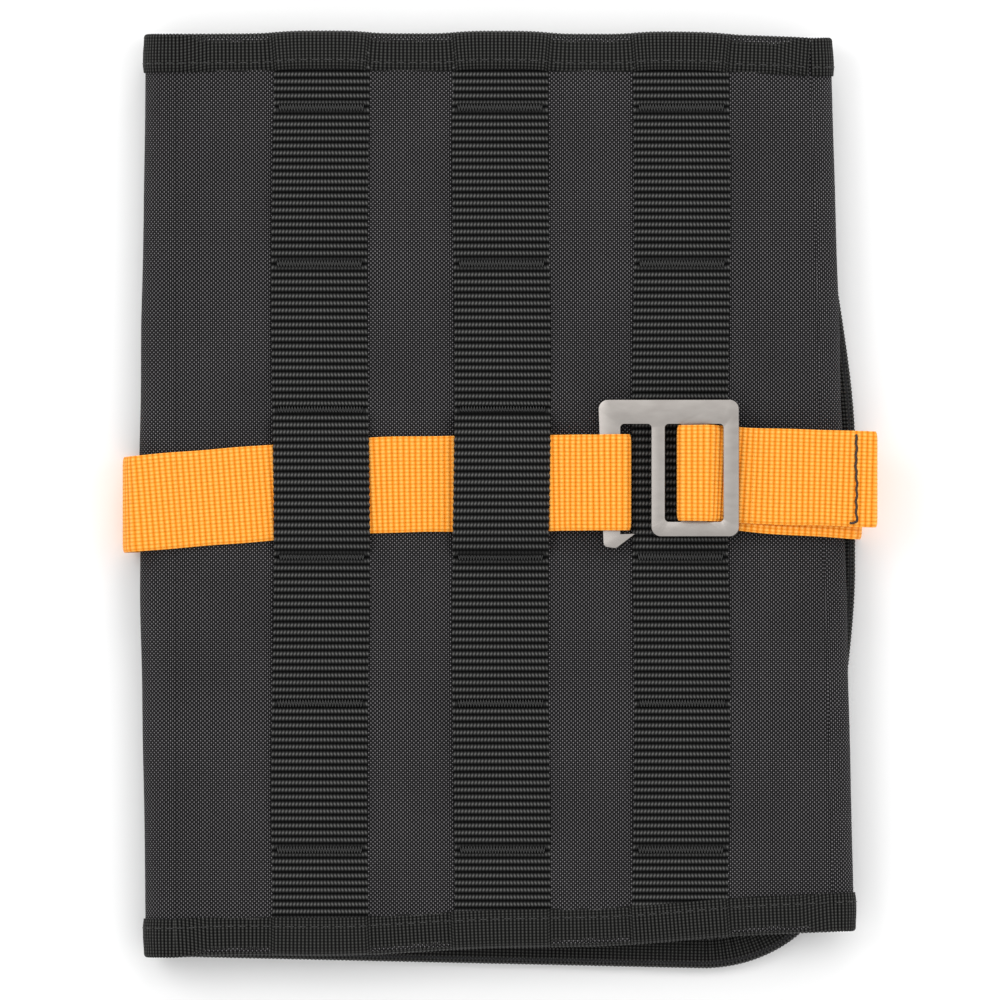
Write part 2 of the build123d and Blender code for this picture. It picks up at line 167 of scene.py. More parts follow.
def shell(name, outer, inner, uv, fields=None):
    """Two grids of the same size, with quads between their borders."""
    rows, columns = outer.shape[:2]
    count = rows * columns
    number = np.arange(count).reshape(rows, columns)
    rim = np.concatenate([number[0], number[1:, -1], number[-1, -2::-1], number[-2:0:-1, 0]])
    after = np.roll(rim, -1)
    faces = np.concatenate([
        grid_faces(rows, columns),
        grid_faces(rows, columns, start=count)[:, ::-1],
        np.stack([after, rim, rim + count, after + count], -1),
    ])
    points = np.concatenate([outer.reshape(-1, 3), inner.reshape(-1, 3)])
    both = {k: np.concatenate([f.ravel(), f.ravel()]) for k, f in (fields or {}).items()}
    return new_piece(name, points, faces, np.tile(uv.reshape(-1, 2), (2, 1)), both, rim=len(rim))


def carried(name, points, uv, fields):
    """A closed section carried along a path: points[k] is the section at step k. Both ends are closed."""
    steps, corners = points.shape[:2]
    ends = [np.arange(corners), np.arange(corners)[::-1] + (steps - 1) * corners]
    flat = {k: f.ravel() for k, f in fields.items()}
    faces = grid_faces(steps, corners, wrap=True)
    return new_piece(name, points.reshape(-1, 3), faces, uv.reshape(-1, 2), flat, ends)


def tubes(name, paths, radius, sides=6):
    """Threads: paths is (threads, steps, 3). Each gets a round section square to its own direction,
    narrowed at both ends."""
    along = np.gradient(paths, axis=1)
    along /= np.linalg.norm(along, axis=-1, keepdims=True)
    side = np.cross(along, [0, 0, 1.0])
    side /= np.maximum(np.linalg.norm(side, axis=-1, keepdims=True), 1e-9)
    up = np.cross(side, along)
    turn = np.arange(sides) * 2 * np.pi / sides
    width = np.ones(paths.shape[1])
    width[[0, -1]] = 0.35
    ring = np.cos(turn)[:, None] * side[:, :, None] + np.sin(turn)[:, None] * up[:, :, None]
    points = paths[:, :, None] + radius * width[:, None, None] * ring
    count, steps = paths.shape[:2]
    quads = grid_faces(steps, sides, wrap=True)
    faces = (quads[None] + (np.arange(count) * steps * sides)[:, None, None]).reshape(-1, 4)
    starts = np.arange(count) * steps * sides
    ends = [np.arange(sides) + s for s in starts]
    ends += [np.arange(sides)[::-1] + s + (steps - 1) * sides for s in starts]
    return new_piece(name, points.reshape(-1, 3), faces, ends=ends)


# %% [markdown]
# ## Finishes
# Black cloth is never flat black. Light catches the top of each yarn and is lost between them, so
# each finish darkens its valleys and lifts its crests. Ribs wide enough to see edge on are real
# geometry and carry an attribute called rib; the yarns inside them are bump, laid along the
# piece's own UV map, which is in metres.

# %% Node helpers
def finish(name, roughness, **shader):
    """A new material with its shader's plain values set. Returns the material, its nodes and its links."""
    material = bpy.data.materials.new(name)
    material.use_nodes = True
    nodes, links = material.node_tree.nodes, material.node_tree.links
    main = nodes["Principled BSDF"]
    main.inputs["Roughness"].default_value = roughness
    for socket, value in shader.items():
        main.inputs[socket.replace("_", " ")].default_value = value
    return material, nodes, links, main


def maths(nodes, links, operation, first, second=None):
    """One Math node: each input is a number or another node's output."""
    node = nodes.new("ShaderNodeMath")
    node.operation = operation
    for slot, value in zip(node.inputs, (first, second)):
        if value is None:
            continue
        if isinstance(value, (int, float)):
            slot.default_value = value
        else:
            links.new(value, slot)
    return node.outputs[0]


def cloth_axes(nodes, links):
    """The two directions of the cloth, in metres, from the piece's UV map."""
    place = nodes.new("ShaderNodeUVMap")
    place.uv_map = "Cloth"
    split = nodes.new("ShaderNodeSeparateXYZ")
    links.new(place.outputs[0], split.inputs[0])
    return place.outputs[0], split.outputs[0], split.outputs[1]


def yarn(nodes, links, along, pitch):
    """|sin(pi s / pitch)|: one round yarn for each pitch."""
    angle = maths(nodes, links, "MULTIPLY", along, np.pi / pitch)
    return maths(nodes, links, "ABSOLUTE", maths(nodes, links, "SINE", angle))


def over_under(nodes, links, s, t, pitch_s, pitch_t):
    """0 where the two cell numbers add up to an even number and 1 where it is odd: a plain weave."""
    cell_s = maths(nodes, links, "FLOOR", maths(nodes, links, "DIVIDE", s, pitch_s))
    cell_t = maths(nodes, links, "FLOOR", maths(nodes, links, "DIVIDE", t, pitch_t))
    return maths(nodes, links, "FLOORED_MODULO", maths(nodes, links, "ADD", cell_s, cell_t), 2.0)


def tint(nodes, links, amount, stops):
    """A colour ramp over an amount from 0 to 1."""
    ramp = nodes.new("ShaderNodeValToRGB")
    for element, (place, colour) in zip(ramp.color_ramp.elements, (stops[0], stops[-1])):
        element.position, element.color = place, (*colour, 1)
    for place, colour in stops[1:-1]:
        ramp.color_ramp.elements.new(place).color = (*colour, 1)
    links.new(amount, ramp.inputs[0])
    return ramp.outputs[0]


def raised(nodes, links, main, height, depth):
    """Bump of a given depth in metres."""
    bump = nodes.new("ShaderNodeBump")
    bump.inputs["Distance"].default_value = depth
    bump.inputs["Strength"].default_value = 1.0
    links.new(height, bump.inputs["Height"])
    links.new(bump.outputs[0], main.inputs["Normal"])


def cloudy(nodes, links, place, size, low, high):
    """Slow change over the cloth, from low to high."""
    noise = nodes.new("ShaderNodeTexNoise")
    noise.inputs["Scale"].default_value = 1 / size
    noise.inputs["Detail"].default_value = 3
    links.new(place, noise.inputs["Vector"])
    scaled = maths(nodes, links, "MULTIPLY", noise.outputs[0], high - low)
    return maths(nodes, links, "ADD", scaled, low)


def shaded(nodes, links, colour, amount):
    """A colour multiplied by an amount."""
    scale = nodes.new("ShaderNodeVectorMath")
    scale.operation = "SCALE"
    links.new(colour, scale.inputs[0])
    links.new(amount, scale.inputs["Scale"])
    return scale.outputs[0]


# %% [markdown]
# ## Woven cloth: the face fabric and the lining
# The face is an oxford weave: yarns cross over and under every 0.56 mm, which from a distance
# reads as fine diagonal rows. The height is the warp yarn's round profile in one cell and the weft
# yarn's in the next.

# %% Woven finishes
def woven(name, pitch, stops, roughness, depth, sheen):
    """Height: over * warp * (0.4 + 0.6 weft) + 0.4 * under * weft * (0.4 + 0.6 warp), which also picks the
    colour."""
    material, nodes, links, main = finish(name, roughness, Sheen_Weight=sheen, Specular_IOR_Level=0.16)
    main.inputs["Sheen Roughness"].default_value = 0.5
    place, s, t = cloth_axes(nodes, links)
    warp, weft = yarn(nodes, links, s, pitch), yarn(nodes, links, t, pitch * 0.92)
    over = over_under(nodes, links, s, t, pitch, pitch * 0.92)

    def lift(top, cross):
        softer = maths(nodes, links, "ADD", maths(nodes, links, "MULTIPLY", cross, 0.6), 0.4)
        return maths(nodes, links, "MULTIPLY", top, softer)

    one = maths(nodes, links, "MULTIPLY", over, lift(warp, weft))
    under = maths(nodes, links, "SUBTRACT", 1.0, over)
    other = maths(nodes, links, "MULTIPLY", under, lift(weft, warp))
    height = maths(nodes, links, "ADD", one, maths(nodes, links, "MULTIPLY", other, 0.4))
    # The colour ramp over yarn height is painted light: painted shade in the hollows between the yarns and a
    # painted highlight on their tops. The specular level follows the same height.
    colour = tint(nodes, links, height, stops)
    patch = cloudy(nodes, links, place, 25 * MM, 0.75, 1.25)
    fleck = cloudy(nodes, links, place, 0.7 * MM, 0.7, 1.3)
    both = maths(nodes, links, "MULTIPLY", patch, fleck)
    links.new(shaded(nodes, links, colour, both), main.inputs["Base Color"])
    links.new(maths(nodes, links, "MULTIPLY", height, 0.3), main.inputs["Specular IOR Level"])
    raised(nodes, links, main, height, depth)
    return material


FACE_COLOURS = [
    (0.0, (0.0015, 0.0015, 0.0016)),
    (0.3, (0.011, 0.0107, 0.0111)),
    (0.65, (0.085, 0.081, 0.085)),
    (1.0, (0.25, 0.24, 0.25)),
]
LINING_COLOURS = [(0.0, (0.010, 0.010, 0.011)), (1.0, (0.045, 0.045, 0.048))]
FACE = woven("face_fabric", 0.56 * MM, FACE_COLOURS, roughness=0.75, depth=0.34 * MM, sheen=0.0)
INSIDE = woven("lining_cloth", 0.45 * MM, LINING_COLOURS, roughness=0.55, depth=0.08 * MM, sheen=0.03)
print("woven finishes:", FACE.name, INSIDE.name)

# %% [markdown]
# ## Webbing, tape and thread
# Webbing is a row of thick weft ribs wrapped by warp yarns. The rib attribute says how high a
# point stands on its rib. The yarns cut each rib into short bumps.

# %% Ribbed finishes
def ribbed(name, yarn_pitch, stops, roughness, depth, sheen):
    """Brightness: rib * (0.55 + 0.45 yarn). Bump comes from the yarns alone, because the ribs are real."""
    material, nodes, links, main = finish(name, roughness, Sheen_Weight=sheen, Specular_IOR_Level=0.15)
    place, _, t = cloth_axes(nodes, links)
    strand = yarn(nodes, links, t, yarn_pitch)
    rib = nodes.new("ShaderNodeAttribute")
    rib.attribute_name = "rib"
    part = maths(nodes, links, "ADD", maths(nodes, links, "MULTIPLY", strand, 0.45), 0.55)
    height = maths(nodes, links, "MULTIPLY", rib.outputs["Fac"], part)
    fleck = cloudy(nodes, links, place, 0.8 * MM, 0.75, 1.25)
    # The colour ramp over rib height is painted light: painted shade in the grooves between ribs and a painted
    # highlight on the rib tops. The specular level follows the same height.
    links.new(shaded(nodes, links, tint(nodes, links, height, stops), fleck), main.inputs["Base Color"])
    links.new(maths(nodes, links, "MULTIPLY", height, 0.25), main.inputs["Specular IOR Level"])
    raised(nodes, links, main, strand, depth)
    return material


WEB_COLOURS = [
    (0.0, (0.0003, 0.0003, 0.0003)),
    (0.4, (0.003, 0.003, 0.003)),
    (0.75, (0.022, 0.022, 0.0215)),
    (1.0, (0.10, 0.10, 0.096)),
]
EDGE_COLOURS = [(0.0, (0.0005, 0.0005, 0.0005)), (0.6, (0.007, 0.007, 0.0066)), (1.0, (0.050, 0.050, 0.046))]
ORANGE_COLOURS = [
    (0.0, (0.72, 0.17, 0.004)),
    (0.35, (0.88, 0.27, 0.016)),
    (0.75, (0.95, 0.39, 0.050)),
    (1.0, (1.0, 0.47, 0.10)),
]
WEB = ribbed("ladder_webbing", 0.9 * MM, WEB_COLOURS, roughness=0.6, depth=0.2 * MM, sheen=0.02)
EDGE = ribbed("binding_tape", 0.8 * MM, EDGE_COLOURS, roughness=0.6, depth=0.12 * MM, sheen=0.02)
ORANGE = ribbed("strap_webbing", 1.0 * MM, ORANGE_COLOURS, roughness=0.65, depth=0.2 * MM, sheen=0.03)


def spun(name, colour):
    """Twisted thread: fine slanted bands from a wave over the object's own coordinates."""
    material, nodes, links, main = finish(name, 0.45, Specular_IOR_Level=0.5)
    place = nodes.new("ShaderNodeTexCoord")
    wave = nodes.new("ShaderNodeTexWave")
    wave.bands_direction = "DIAGONAL"
    wave.inputs["Scale"].default_value = 900
    links.new(place.outputs["Object"], wave.inputs["Vector"])
    dark = tuple(c * 0.35 for c in colour)
    twist = tint(nodes, links, wave.outputs["Fac"], [(0.0, dark), (1.0, colour)])
    links.new(twist, main.inputs["Base Color"])
    raised(nodes, links, main, wave.outputs["Fac"], 0.05 * MM)
    return material


THREAD = spun("black_thread", (0.022, 0.022, 0.021))
HEM_THREAD = spun("hem_thread", (0.030, 0.012, 0.008))
print("ribbed finishes:", WEB.name, EDGE.name, ORANGE.name)

# %% [markdown]
# ## Metal and foam
# The hook is stamped from plate and tumbled: a satin grey with faint grain. Its bright edges come
# from the bevel on the piece, not from the finish. The foam is closed-cell, all small round cells.

# %% Metal and foam finishes
def satin_metal():
    """Roughness 0.3 to 0.44 from stretched noise, which also gives a shallow grain."""
    material, nodes, links, main = finish("hook_metal", 0.36, Metallic=1.0)
    place = nodes.new("ShaderNodeTexCoord")
    turn = nodes.new("ShaderNodeMapping")
    turn.inputs["Scale"].default_value = (1.0, 2.5, 1.0)
    links.new(place.outputs["Object"], turn.inputs["Vector"])
    grain = cloudy(nodes, links, turn.outputs[0], 5 * MM, 0.0, 1.0)
    greys = [(0.3, (0.345, 0.32, 0.30)), (0.7, (0.385, 0.36, 0.338))]
    links.new(tint(nodes, links, grain, greys), main.inputs["Base Color"])
    rough = maths(nodes, links, "ADD", maths(nodes, links, "MULTIPLY", grain, 0.14), 0.30)
    links.new(rough, main.inputs["Roughness"])
    raised(nodes, links, main, grain, 0.02 * MM)
    return material


def cell_foam():
    """Distance to the nearest of many random cell centres, 0.6 mm apart, as colour and bump."""
    material, nodes, links, main = finish("foam_cells", 0.85)
    place = nodes.new("ShaderNodeTexCoord")
    cells = nodes.new("ShaderNodeTexVoronoi")
    cells.inputs["Scale"].default_value = 1 / (0.6 * MM)
    links.new(place.outputs["Object"], cells.inputs["Vector"])
    greys = [(0.0, (0.05, 0.05, 0.05)), (0.8, (0.13, 0.13, 0.13))]
    links.new(tint(nodes, links, cells.outputs["Distance"], greys), main.inputs["Base Color"])
    raised(nodes, links, main, cells.outputs["Distance"], 0.1 * MM)
    return material


METAL, FOAM = satin_metal(), cell_foam()
print("other finishes:", METAL.name, FOAM.name)

# %% [markdown]
# ## Handing a piece over
# Every piece gets its finish and the body that it moves with, and the CAD nodes that it stands for
# are hidden. A piece at a fold lies between two bodies; it is left where it was built, with its
# transform baked, and follows neither.

# %% Settling a piece on its body
def settle(piece, material, slot, body=None, bend=None, stands_for=()):
    """Gives a piece its finish and the body that it follows, and hides the CAD nodes it stands for. A piece
    given a bend instead of a body is only baked in place.
    """
    piece.data.materials.append(material)
    if body:
        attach(piece, body)
    else:
        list(bend[:2])
        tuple(bend[2])
        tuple(bend[3])
        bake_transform(piece)
    if stands_for:
        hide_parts(*stands_for)
    print(f"{piece.name}: {len(piece.data.vertices)} points")


OVER_LEFT = ("centre", "outer_wing", (left_x, 0, face_z), (left_x, 0, outer_low))
OVER_RIGHT = ("centre", "inner_wing", (right_x, 0, face_z), (right_x, 0, inner_low))

# %% [markdown]
# ## The strap's line
# The strap is one length of webbing, so its whole middle line is drawn once: from the end that is
# sewn back under the middle column, round the hook's arm, left under two columns, round the left
# fold, across the back, round the right side, through the hook's slider and out as the tail. It is
# a smooth curve through listed points, and the pieces are cut from it where the CAD nodes
# meet, so the ribs run on from piece to piece.

# %% Drawing the strap's line
STRAP_T, STRAP_RIB = 1.3 * MM, 1.5 * MM
STRAP_POINTS = MM * np.array([
    (-4, 4.3, 17.85), (6, 4.4, 17.85), (18, 4.5, 17.85), (28, 4.6, 17.9), (33.8, 4.6, 17.95),
    (33.8, 4.6, 22.15), (28, 4.6, 22.2), (22.5, 4.5, 22.0), (17, 4.5, 20.5), (12.5, 4.4, 19.4),
    (3, 4.3, 19.25), (-4, 4.3, 19.2), (-8, 4.2, 18.1), (-13, 4.2, 17.85), (-24, 4.1, 17.85),
    (-34, 3.8, 17.85), (-46, 2.9, 17.85), (-58, 2.0, 17.85), (-72, 0.9, 17.85), (-84.6, -0.1, 17.85),
    (-89, -0.5, 17.85), (-97.35, -1.2, 17.6), (-97.35, -1.3, 0.9), (-89, -1.2, 0.65), (-84.6, -1.1, 0.65),
    (-60, -0.4, 0.65), (-20, 0.5, 0.65), (20, 1.3, 0.65), (60, 2.0, 0.65), (84, 2.4, 0.65),
    (91.5, 2.5, 0.65), (93.85, 2.5, 0.65), (93.85, 2.4, 4.0), (93.85, 2.2, 15.0), (93.0, 2.3, 19.9),
    (86, 2.8, 19.85), (78, 3.2, 19.85), (66, 4.0, 19.85), (58, 5.2, 19.85), (52, 6.6, 19.85),
    (49, 7.05, 19.8), (46.9, 7.05, 19.9), (46.75, 7.05, 24.3), (48.6, 7.05, 24.85), (52, 7.05, 24.95),
    (54.6, 7.05, 24.75), (56.6, 6.95, 22.9), (58.6, 6.8, 21.3), (63, 6.4, 21.2), (70, 6.1, 21.3),
    (84, 5.8, 21.8), (92, 5.5, 22.4), (97.4, 5.35, 22.6), (97.7, 5.35, 22.4), (97.7, 5.35, 21.35),
    (97.3, 5.35, 21.2), (91.2, 5.5, 21.1),
])


def curve(points, step):
    """Quadratic B-spline: from the middle of one side to the middle of the next,
    (1-t)^2 a + 2t(1-t) b + t^2 c, then points at even steps of length."""
    middles = (points[1:] + points[:-1]) / 2
    middles[0], middles[-1] = points[0], points[-1]
    t = np.linspace(0, 1, 24, endpoint=False)[:, None]
    a, b, c = middles[:-1, None], points[1:-1, None], middles[1:, None]
    fine = ((1 - t) ** 2 * a + 2 * t * (1 - t) * b + t**2 * c).reshape(-1, 3)
    fine = np.vstack([fine, points[-1]])
    length = travelled(fine)
    even = np.linspace(0, length[-1], int(length[-1] / step) + 1)
    return np.stack([np.interp(even, length, fine[:, k]) for k in range(3)], -1), even


strap_line, strap_length = curve(STRAP_POINTS, STRAP_RIB / 8)
print("strap length", round(strap_length[-1], 3), "m in", len(strap_line), "steps")

# %% [markdown]
# ## Cutting the strap
# Each length of strap is a flat ribbon square to the line. Its two faces carry ribs across it,
# |sin(pi s / pitch)| high, and its thickness falls away at both selvedges.

# %% Strap pieces
STRAP_HALF, RIB_DEEP = 12.45 * MM, 0.28 * MM


def strap_piece(name, first, last):
    """The ribbon between two steps of the line.
    Face points: line + w * sideways +- (half thickness + rib) * normal."""
    line, length = strap_line[first:last], strap_length[first:last]
    along = np.gradient(strap_line, axis=0)[first:last]
    along /= np.linalg.norm(along, axis=1, keepdims=True)
    sideways = np.array([0, 1.0, 0]) - along * along[:, 1:2]
    sideways /= np.linalg.norm(sideways, axis=1, keepdims=True)
    normal = np.cross(along, sideways)
    w = np.sin(np.linspace(-np.pi / 2, np.pi / 2, 17)) * STRAP_HALF
    edge = 1 - 0.75 * (np.abs(w) / HALF) ** 24
    rib = np.abs(np.sin(np.pi * length / STRAP_RIB))[:, None] ** 0.8
    wobble = 1 + 0.004 * np.sin(length / (3.1 * MM))[:, None]
    half = (STRAP_T / 2 - RIB_DEEP + RIB_DEEP * rib) * edge
    base = line[:, None] + (w * wobble)[..., None] * sideways[:, None]
    uv = np.stack(np.broadcast_arrays(length[:, None], w[None]), -1)
    field = {"rib": rib * np.ones_like(w)}
    out = half[..., None] * normal[:, None]
    return shell(name, base + out, base - out, uv, field)


def step_near(x, z):
    """The step of the line that is nearest a place seen from the side, x and z in mm."""
    return int(np.hypot(strap_line[:, 0] - x * MM, strap_line[:, 2] - z * MM).argmin())


NEAR_FOLD = left_x / MM + 1
PLACES = [(-10, 18.0), (NEAR_FOLD, 17.85), (NEAR_FOLD, 0.65), (84, 0.65)]
PLACES += [(84, 19.85), (66, 19.85), (66, 21.25)]
CUTS = [0, *(step_near(*place) for place in PLACES), len(strap_line) - 1]
print("cuts", CUTS)

arm_x = joints["hook_swing"]["pos_m"][0]
swing_x, _, swing_z = joints["strap_end_swing"]["pos_m"]
HALF_STRAP = STRAP_T / 2
ROUND_ARM = ("centre", "g_hook", (arm_x - 2 * MM, 0, 0.02), (arm_x + 6 * MM, 0, 0.02))
ROUND_SIDE = ("outer_wing", "strap_end", (swing_x, 0, HALF_STRAP), (swing_x, 0, 2 * swing_z - HALF_STRAP))
STRAP_PIECES = (
    ("sewn_loop", None, ROUND_ARM, "strap_end_loop"),
    ("strap_front", "centre", None, "strap_front_run"),
    ("strap_round_left", None, OVER_LEFT, "strap_left_turn"),
    ("strap_back", "outer_wing", None, "strap_back_run"),
    ("strap_round_right", None, ROUND_SIDE, "strap_right_turn"),
    ("strap_under_tail", "strap_end", None, "strap_lower_layer"),
    ("strap_through_slider", "strap_end", None, "strap_slider_loop"),
    ("strap_tail_end", "strap_tail", None, "strap_tail"),
)
for (name, body, bend, node), first, last in zip(STRAP_PIECES, CUTS[:-1], CUTS[1:]):
    settle(strap_piece(name, first, last + 1), ORANGE, "strap_webbing", body, bend, [node])

# %% [markdown]
# ## Blowing up the cloth
# The foam under the cloth is pressed flat where webbing, tape and the strap hold it, and stands
# up a little between them. That is left to Blender's cloth: a flat sheet, cut slightly too large,
# is held where it is sewn or pressed and pushed up from below. The sheet is simulated ten times
# too big, where the solver is steady, and only how far each point rises is kept.

# %% Cloth simulation
GROW, FRAMES = 10.0, 16


def soft(values, times):
    """Each point moves towards the mean of its four neighbours, several times over."""
    for _ in range(times):
        wide = np.pad(values, 1, mode="edge")
        values = (4 * values + wide[:-2, 1:-1] + wide[2:, 1:-1] + wide[1:-1, :-2] + wide[1:-1, 2:]) / 8
    return values


def blown_up(x, y, held, slack, most):
    """How far each grid point rises: a sheet larger by the slack, held where held is 1, under even
    pressure, then capped at most * tanh(rise / most) and smoothed."""
    points = np.stack([x, y, 0 * x], -1).reshape(-1, 3) * GROW
    sheet = new_piece("simulated_sheet", points, grid_faces(*x.shape))
    pins = sheet.vertex_groups.new(name="held")
    pins.add(np.flatnonzero(held.ravel() > 0.5).tolist(), 1.0, "REPLACE")
    cloth = sheet.modifiers.new("cloth", "CLOTH")
    cloth.settings.quality = 6
    cloth.settings.mass = 0.3
    cloth.settings.tension_stiffness = 25
    cloth.settings.compression_stiffness = 25
    cloth.settings.shear_stiffness = 8
    cloth.settings.bending_stiffness = 0.3
    cloth.settings.shrink_min = -slack
    cloth.settings.use_pressure = True
    cloth.settings.uniform_pressure_force = 12
    cloth.settings.vertex_group_mass = "held"
    cloth.settings.effector_weights.gravity = 0
    cloth.point_cache.frame_start, cloth.point_cache.frame_end = 1, FRAMES
    for step in range(1, FRAMES + 1):
        bpy.context.scene.frame_set(step)
        bpy.context.view_layer.update()
    shape = sheet.evaluated_get(bpy.context.evaluated_depsgraph_get()).to_mesh()
    result = np.empty(len(points) * 3, np.float32)
    shape.vertices.foreach_get("co", result)
    bpy.data.objects.remove(sheet)
    bpy.context.scene.frame_set(1)
    rise = np.abs(result.reshape(*x.shape, 3)[..., 2]) / GROW
    rise = most * np.tanh(rise / most)
    rise = soft(rise, 2)
    print("cloth rises up to", round(float(rise.max()) / MM, 2), "mm")
    return rise


def finer(values, columns, rows):
    """The same field on a finer grid: straight lines between points, along each direction in turn."""
    old_c, old_r = (np.linspace(0, 1, n) for n in values.shape)
    new_c, new_r = np.linspace(0, 1, columns), np.linspace(0, 1, rows)
    wide = np.stack([np.interp(new_c, old_c, values[:, k]) for k in range(values.shape[1])], 1)
    return np.stack([np.interp(new_r, old_r, wide[k]) for k in range(columns)], 0)


def strap_middle(x):
    """Y of the strap's middle line on the front, at x."""
    places = [left_x, COLUMNS[0], COLUMNS[0] + HALF, 0.1]
    return np.interp(x, places, [-0.1 * MM, 2.9 * MM, 3.8 * MM, 5.0 * MM])


HOOK_SIDE, HOOK_HELD = (29 * MM, 7 * MM), (6 * MM, 21 * MM)


def held_on_front(x, y, right_edge, top, bottom):
    """1 where the face is held: at the folds and under the tapes, columns, strap and hook."""
    folds = (x < left_x + 1.5 * MM) | (x > right_edge - 1.5 * MM)
    taped = np.minimum(top - y, y - bottom) < TAPE_W
    sewn = sum(np.abs(x - c) < HALF - 1 * MM for c in COLUMNS) > 0
    strapped = np.abs(y - strap_middle(x)) < HALF
    hooked = (np.abs(x - HOOK_SIDE[0]) < HOOK_HELD[0]) & (np.abs(y - HOOK_SIDE[1]) < HOOK_HELD[1])
    return (folds | taped | sewn | strapped | hooked).astype(float)


# %% [markdown]
# ## The centre panel
# Three layers lie between the two folds: the face fabric, which rises between the sewn columns, a
# sheet of foam that fills it, and the lining behind. The rise eases out towards both folds, and
# the foam thins to nothing there, so that the panel can crease.

# %% Centre panel
def centre_grid(columns, rows):
    """Points of the centre panel, in from its top and bottom edges, with u and v as the two directions."""
    past = PAST / (right_x - left_x)
    u, v = np.meshgrid(np.linspace(past, 1 - past, columns), np.linspace(0, 1, rows), indexing="ij")
    tall = left_top - left_bottom
    x, y = front_xy(u, EDGE_IN / tall + v * (1 - 2 * EDGE_IN / tall))
    across = right_bottom + v * (right_top - right_bottom)
    _, top = front_xy(u, np.ones_like(v))
    _, bottom = front_xy(u, np.zeros_like(v))
    return x, y, right_x - across * lean_sin, top, bottom


def stack(x, y, z):
    """Three grids as one grid of points."""
    return np.stack(np.broadcast_arrays(x, y, z), -1)


coarse = centre_grid(96, 130)
lift = soft(blown_up(*coarse[:2], held_on_front(*coarse), 0.012, 1.5 * MM), 1)
EASE = 16 * MM
lift *= smooth((coarse[0] - left_x) / EASE) * smooth((coarse[2] - coarse[0]) / EASE)
x, y, right_edge, top, bottom = centre_grid(150, 190)
face_height = face_z + soft(finer(lift, 150, 190), 2)
flat_uv = np.stack([x, y], -1)
front_cover = shell("front_cover", stack(x, y, face_height), stack(x, y, face_height - FABRIC * 0.9), flat_uv)
settle(front_cover, FACE, "face_fabric", body="centre", stands_for=["centre_outer_fabric"])

x, y, right_edge, top, bottom = centre_grid(70, 90)
crown = soft(finer(lift, 70, 90), 1)
flat_uv = np.stack([x, y], -1)
full = smooth((x - left_x - PAST) / TAPE_W) * smooth((right_edge - PAST - x) / TAPE_W)
thin_z = face_z - FABRIC - 0.1 * MM
foam_top = face_z - FABRIC - 0.02 * MM + crown * 0.9
foam_low = thin_z + full * (back_z + LINING + 0.02 * MM - thin_z)
centre_pad = shell("centre_pad", stack(x, y, foam_top), stack(x, y, foam_low), flat_uv)
settle(centre_pad, FOAM, "foam", body="centre", stands_for=["centre_foam"])
slack = 0.12 * MM * np.sin(x / (9 * MM)) * np.sin(y / (14 * MM))
lining_low = thin_z - LINING + full * (back_z + 0.12 * MM + slack - thin_z + LINING)
lining_top = thin_z - 0.03 * MM + full * (back_z + LINING - thin_z + 0.03 * MM)
centre_inside = shell("centre_inside", stack(x, y, lining_low), stack(x, y, lining_top), flat_uv)
settle(centre_inside, INSIDE, "lining", body="centre", stands_for=["centre_lining"])

# %% [markdown]
# ## Folds
# Round each fold the face fabric and the lining turn through half a circle about the fold line,
# with no foam. The left fold swells a little in the middle.

# %% Fold covers
def right_place(x, y):
    """Turns a place measured from the right fold line, x outwards and y along it, into the frame."""
    return right_x + x * lean_cos - y * lean_sin, x * lean_sin + y * lean_cos


def fold_cover(name, side, radius, thick, swell):
    """x = radius sin(angle) outwards, z = axis + radius cos(angle), for angles 0 to pi, with a short straight
    part at each end. The swell adds to x in the middle."""
    low, high = (left_bottom, left_top) if side < 0 else (right_bottom, right_top)
    round_it = np.linspace(-PAST - TUCK, np.pi * radius + PAST + TUCK, 48)
    path, y = np.meshgrid(round_it, np.linspace(low + EDGE_IN, high - EDGE_IN, 150), indexing="ij")
    angle = np.clip(path / radius, 0, np.pi)
    straight = path - angle * radius
    share = (y - low) / (high - low)
    ripple = 0.12 * MM * np.sin(y / (6 * MM)) * np.sin(angle) ** 2 * np.sin(np.pi * share) ** 2
    out = swell * np.sin(np.pi * share) ** 2 * np.sin(angle) ** 2 + ripple
    axis_z = left_z if side < 0 else right_z

    def surface(r, extra):
        reach = (r + extra) * np.sin(angle) - np.abs(straight)
        z = axis_z + (r - 0.05 * MM * smooth((np.abs(straight) - 0.5 * PAST) / (0.5 * PAST))) * np.cos(angle)
        px, py = (left_x - reach, y) if side < 0 else right_place(reach, y)
        return stack(px, py, z)

    start = left_x if side < 0 else right_x
    uv = np.stack([start + side * path, y], -1)
    return shell(name, surface(radius, out), surface(radius - thick, out * 0.9), uv)


FOLDS = ((-1, "left", left_r, OVER_LEFT, 1.5 * MM), (1, "right", right_r, OVER_RIGHT, 0.3 * MM))
for side, word, radius, way, swell in FOLDS:
    cover = fold_cover(f"{word}_fold_cover", side, radius, FABRIC * 0.9, swell)
    settle(cover, FACE, "face_fabric", bend=way, stands_for=[f"{word}_fold_fabric"])
    inside = fold_cover(f"{word}_fold_inside", side, radius - FABRIC, LINING * 0.9, swell * 0.85)
    settle(inside, INSIDE, "lining", bend=way, stands_for=[f"{word}_fold_lining"])

# %% [markdown]
# ## Wings
# A wing is a rectangle with two round corners. At a distance x from its fold line its top and
# bottom edges come in by R - sqrt(R^2 - d^2), where d is how far x is past the start of the corner.

# %% Wing shapes
OUTER = {"root": (left_top, left_bottom), "free": (117.0 * MM, -122.88 * MM), "corner": 40 * MM}
OUTER["width"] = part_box("outer_wing_edge_binding")[1][0] - left_x
INNER = {"root": (right_top, right_bottom), "corner": 12 * MM}
INNER["free"] = (right_top - 1.5 * MM, right_bottom + 1.5 * MM)
INNER["width"] = 76.0 * MM


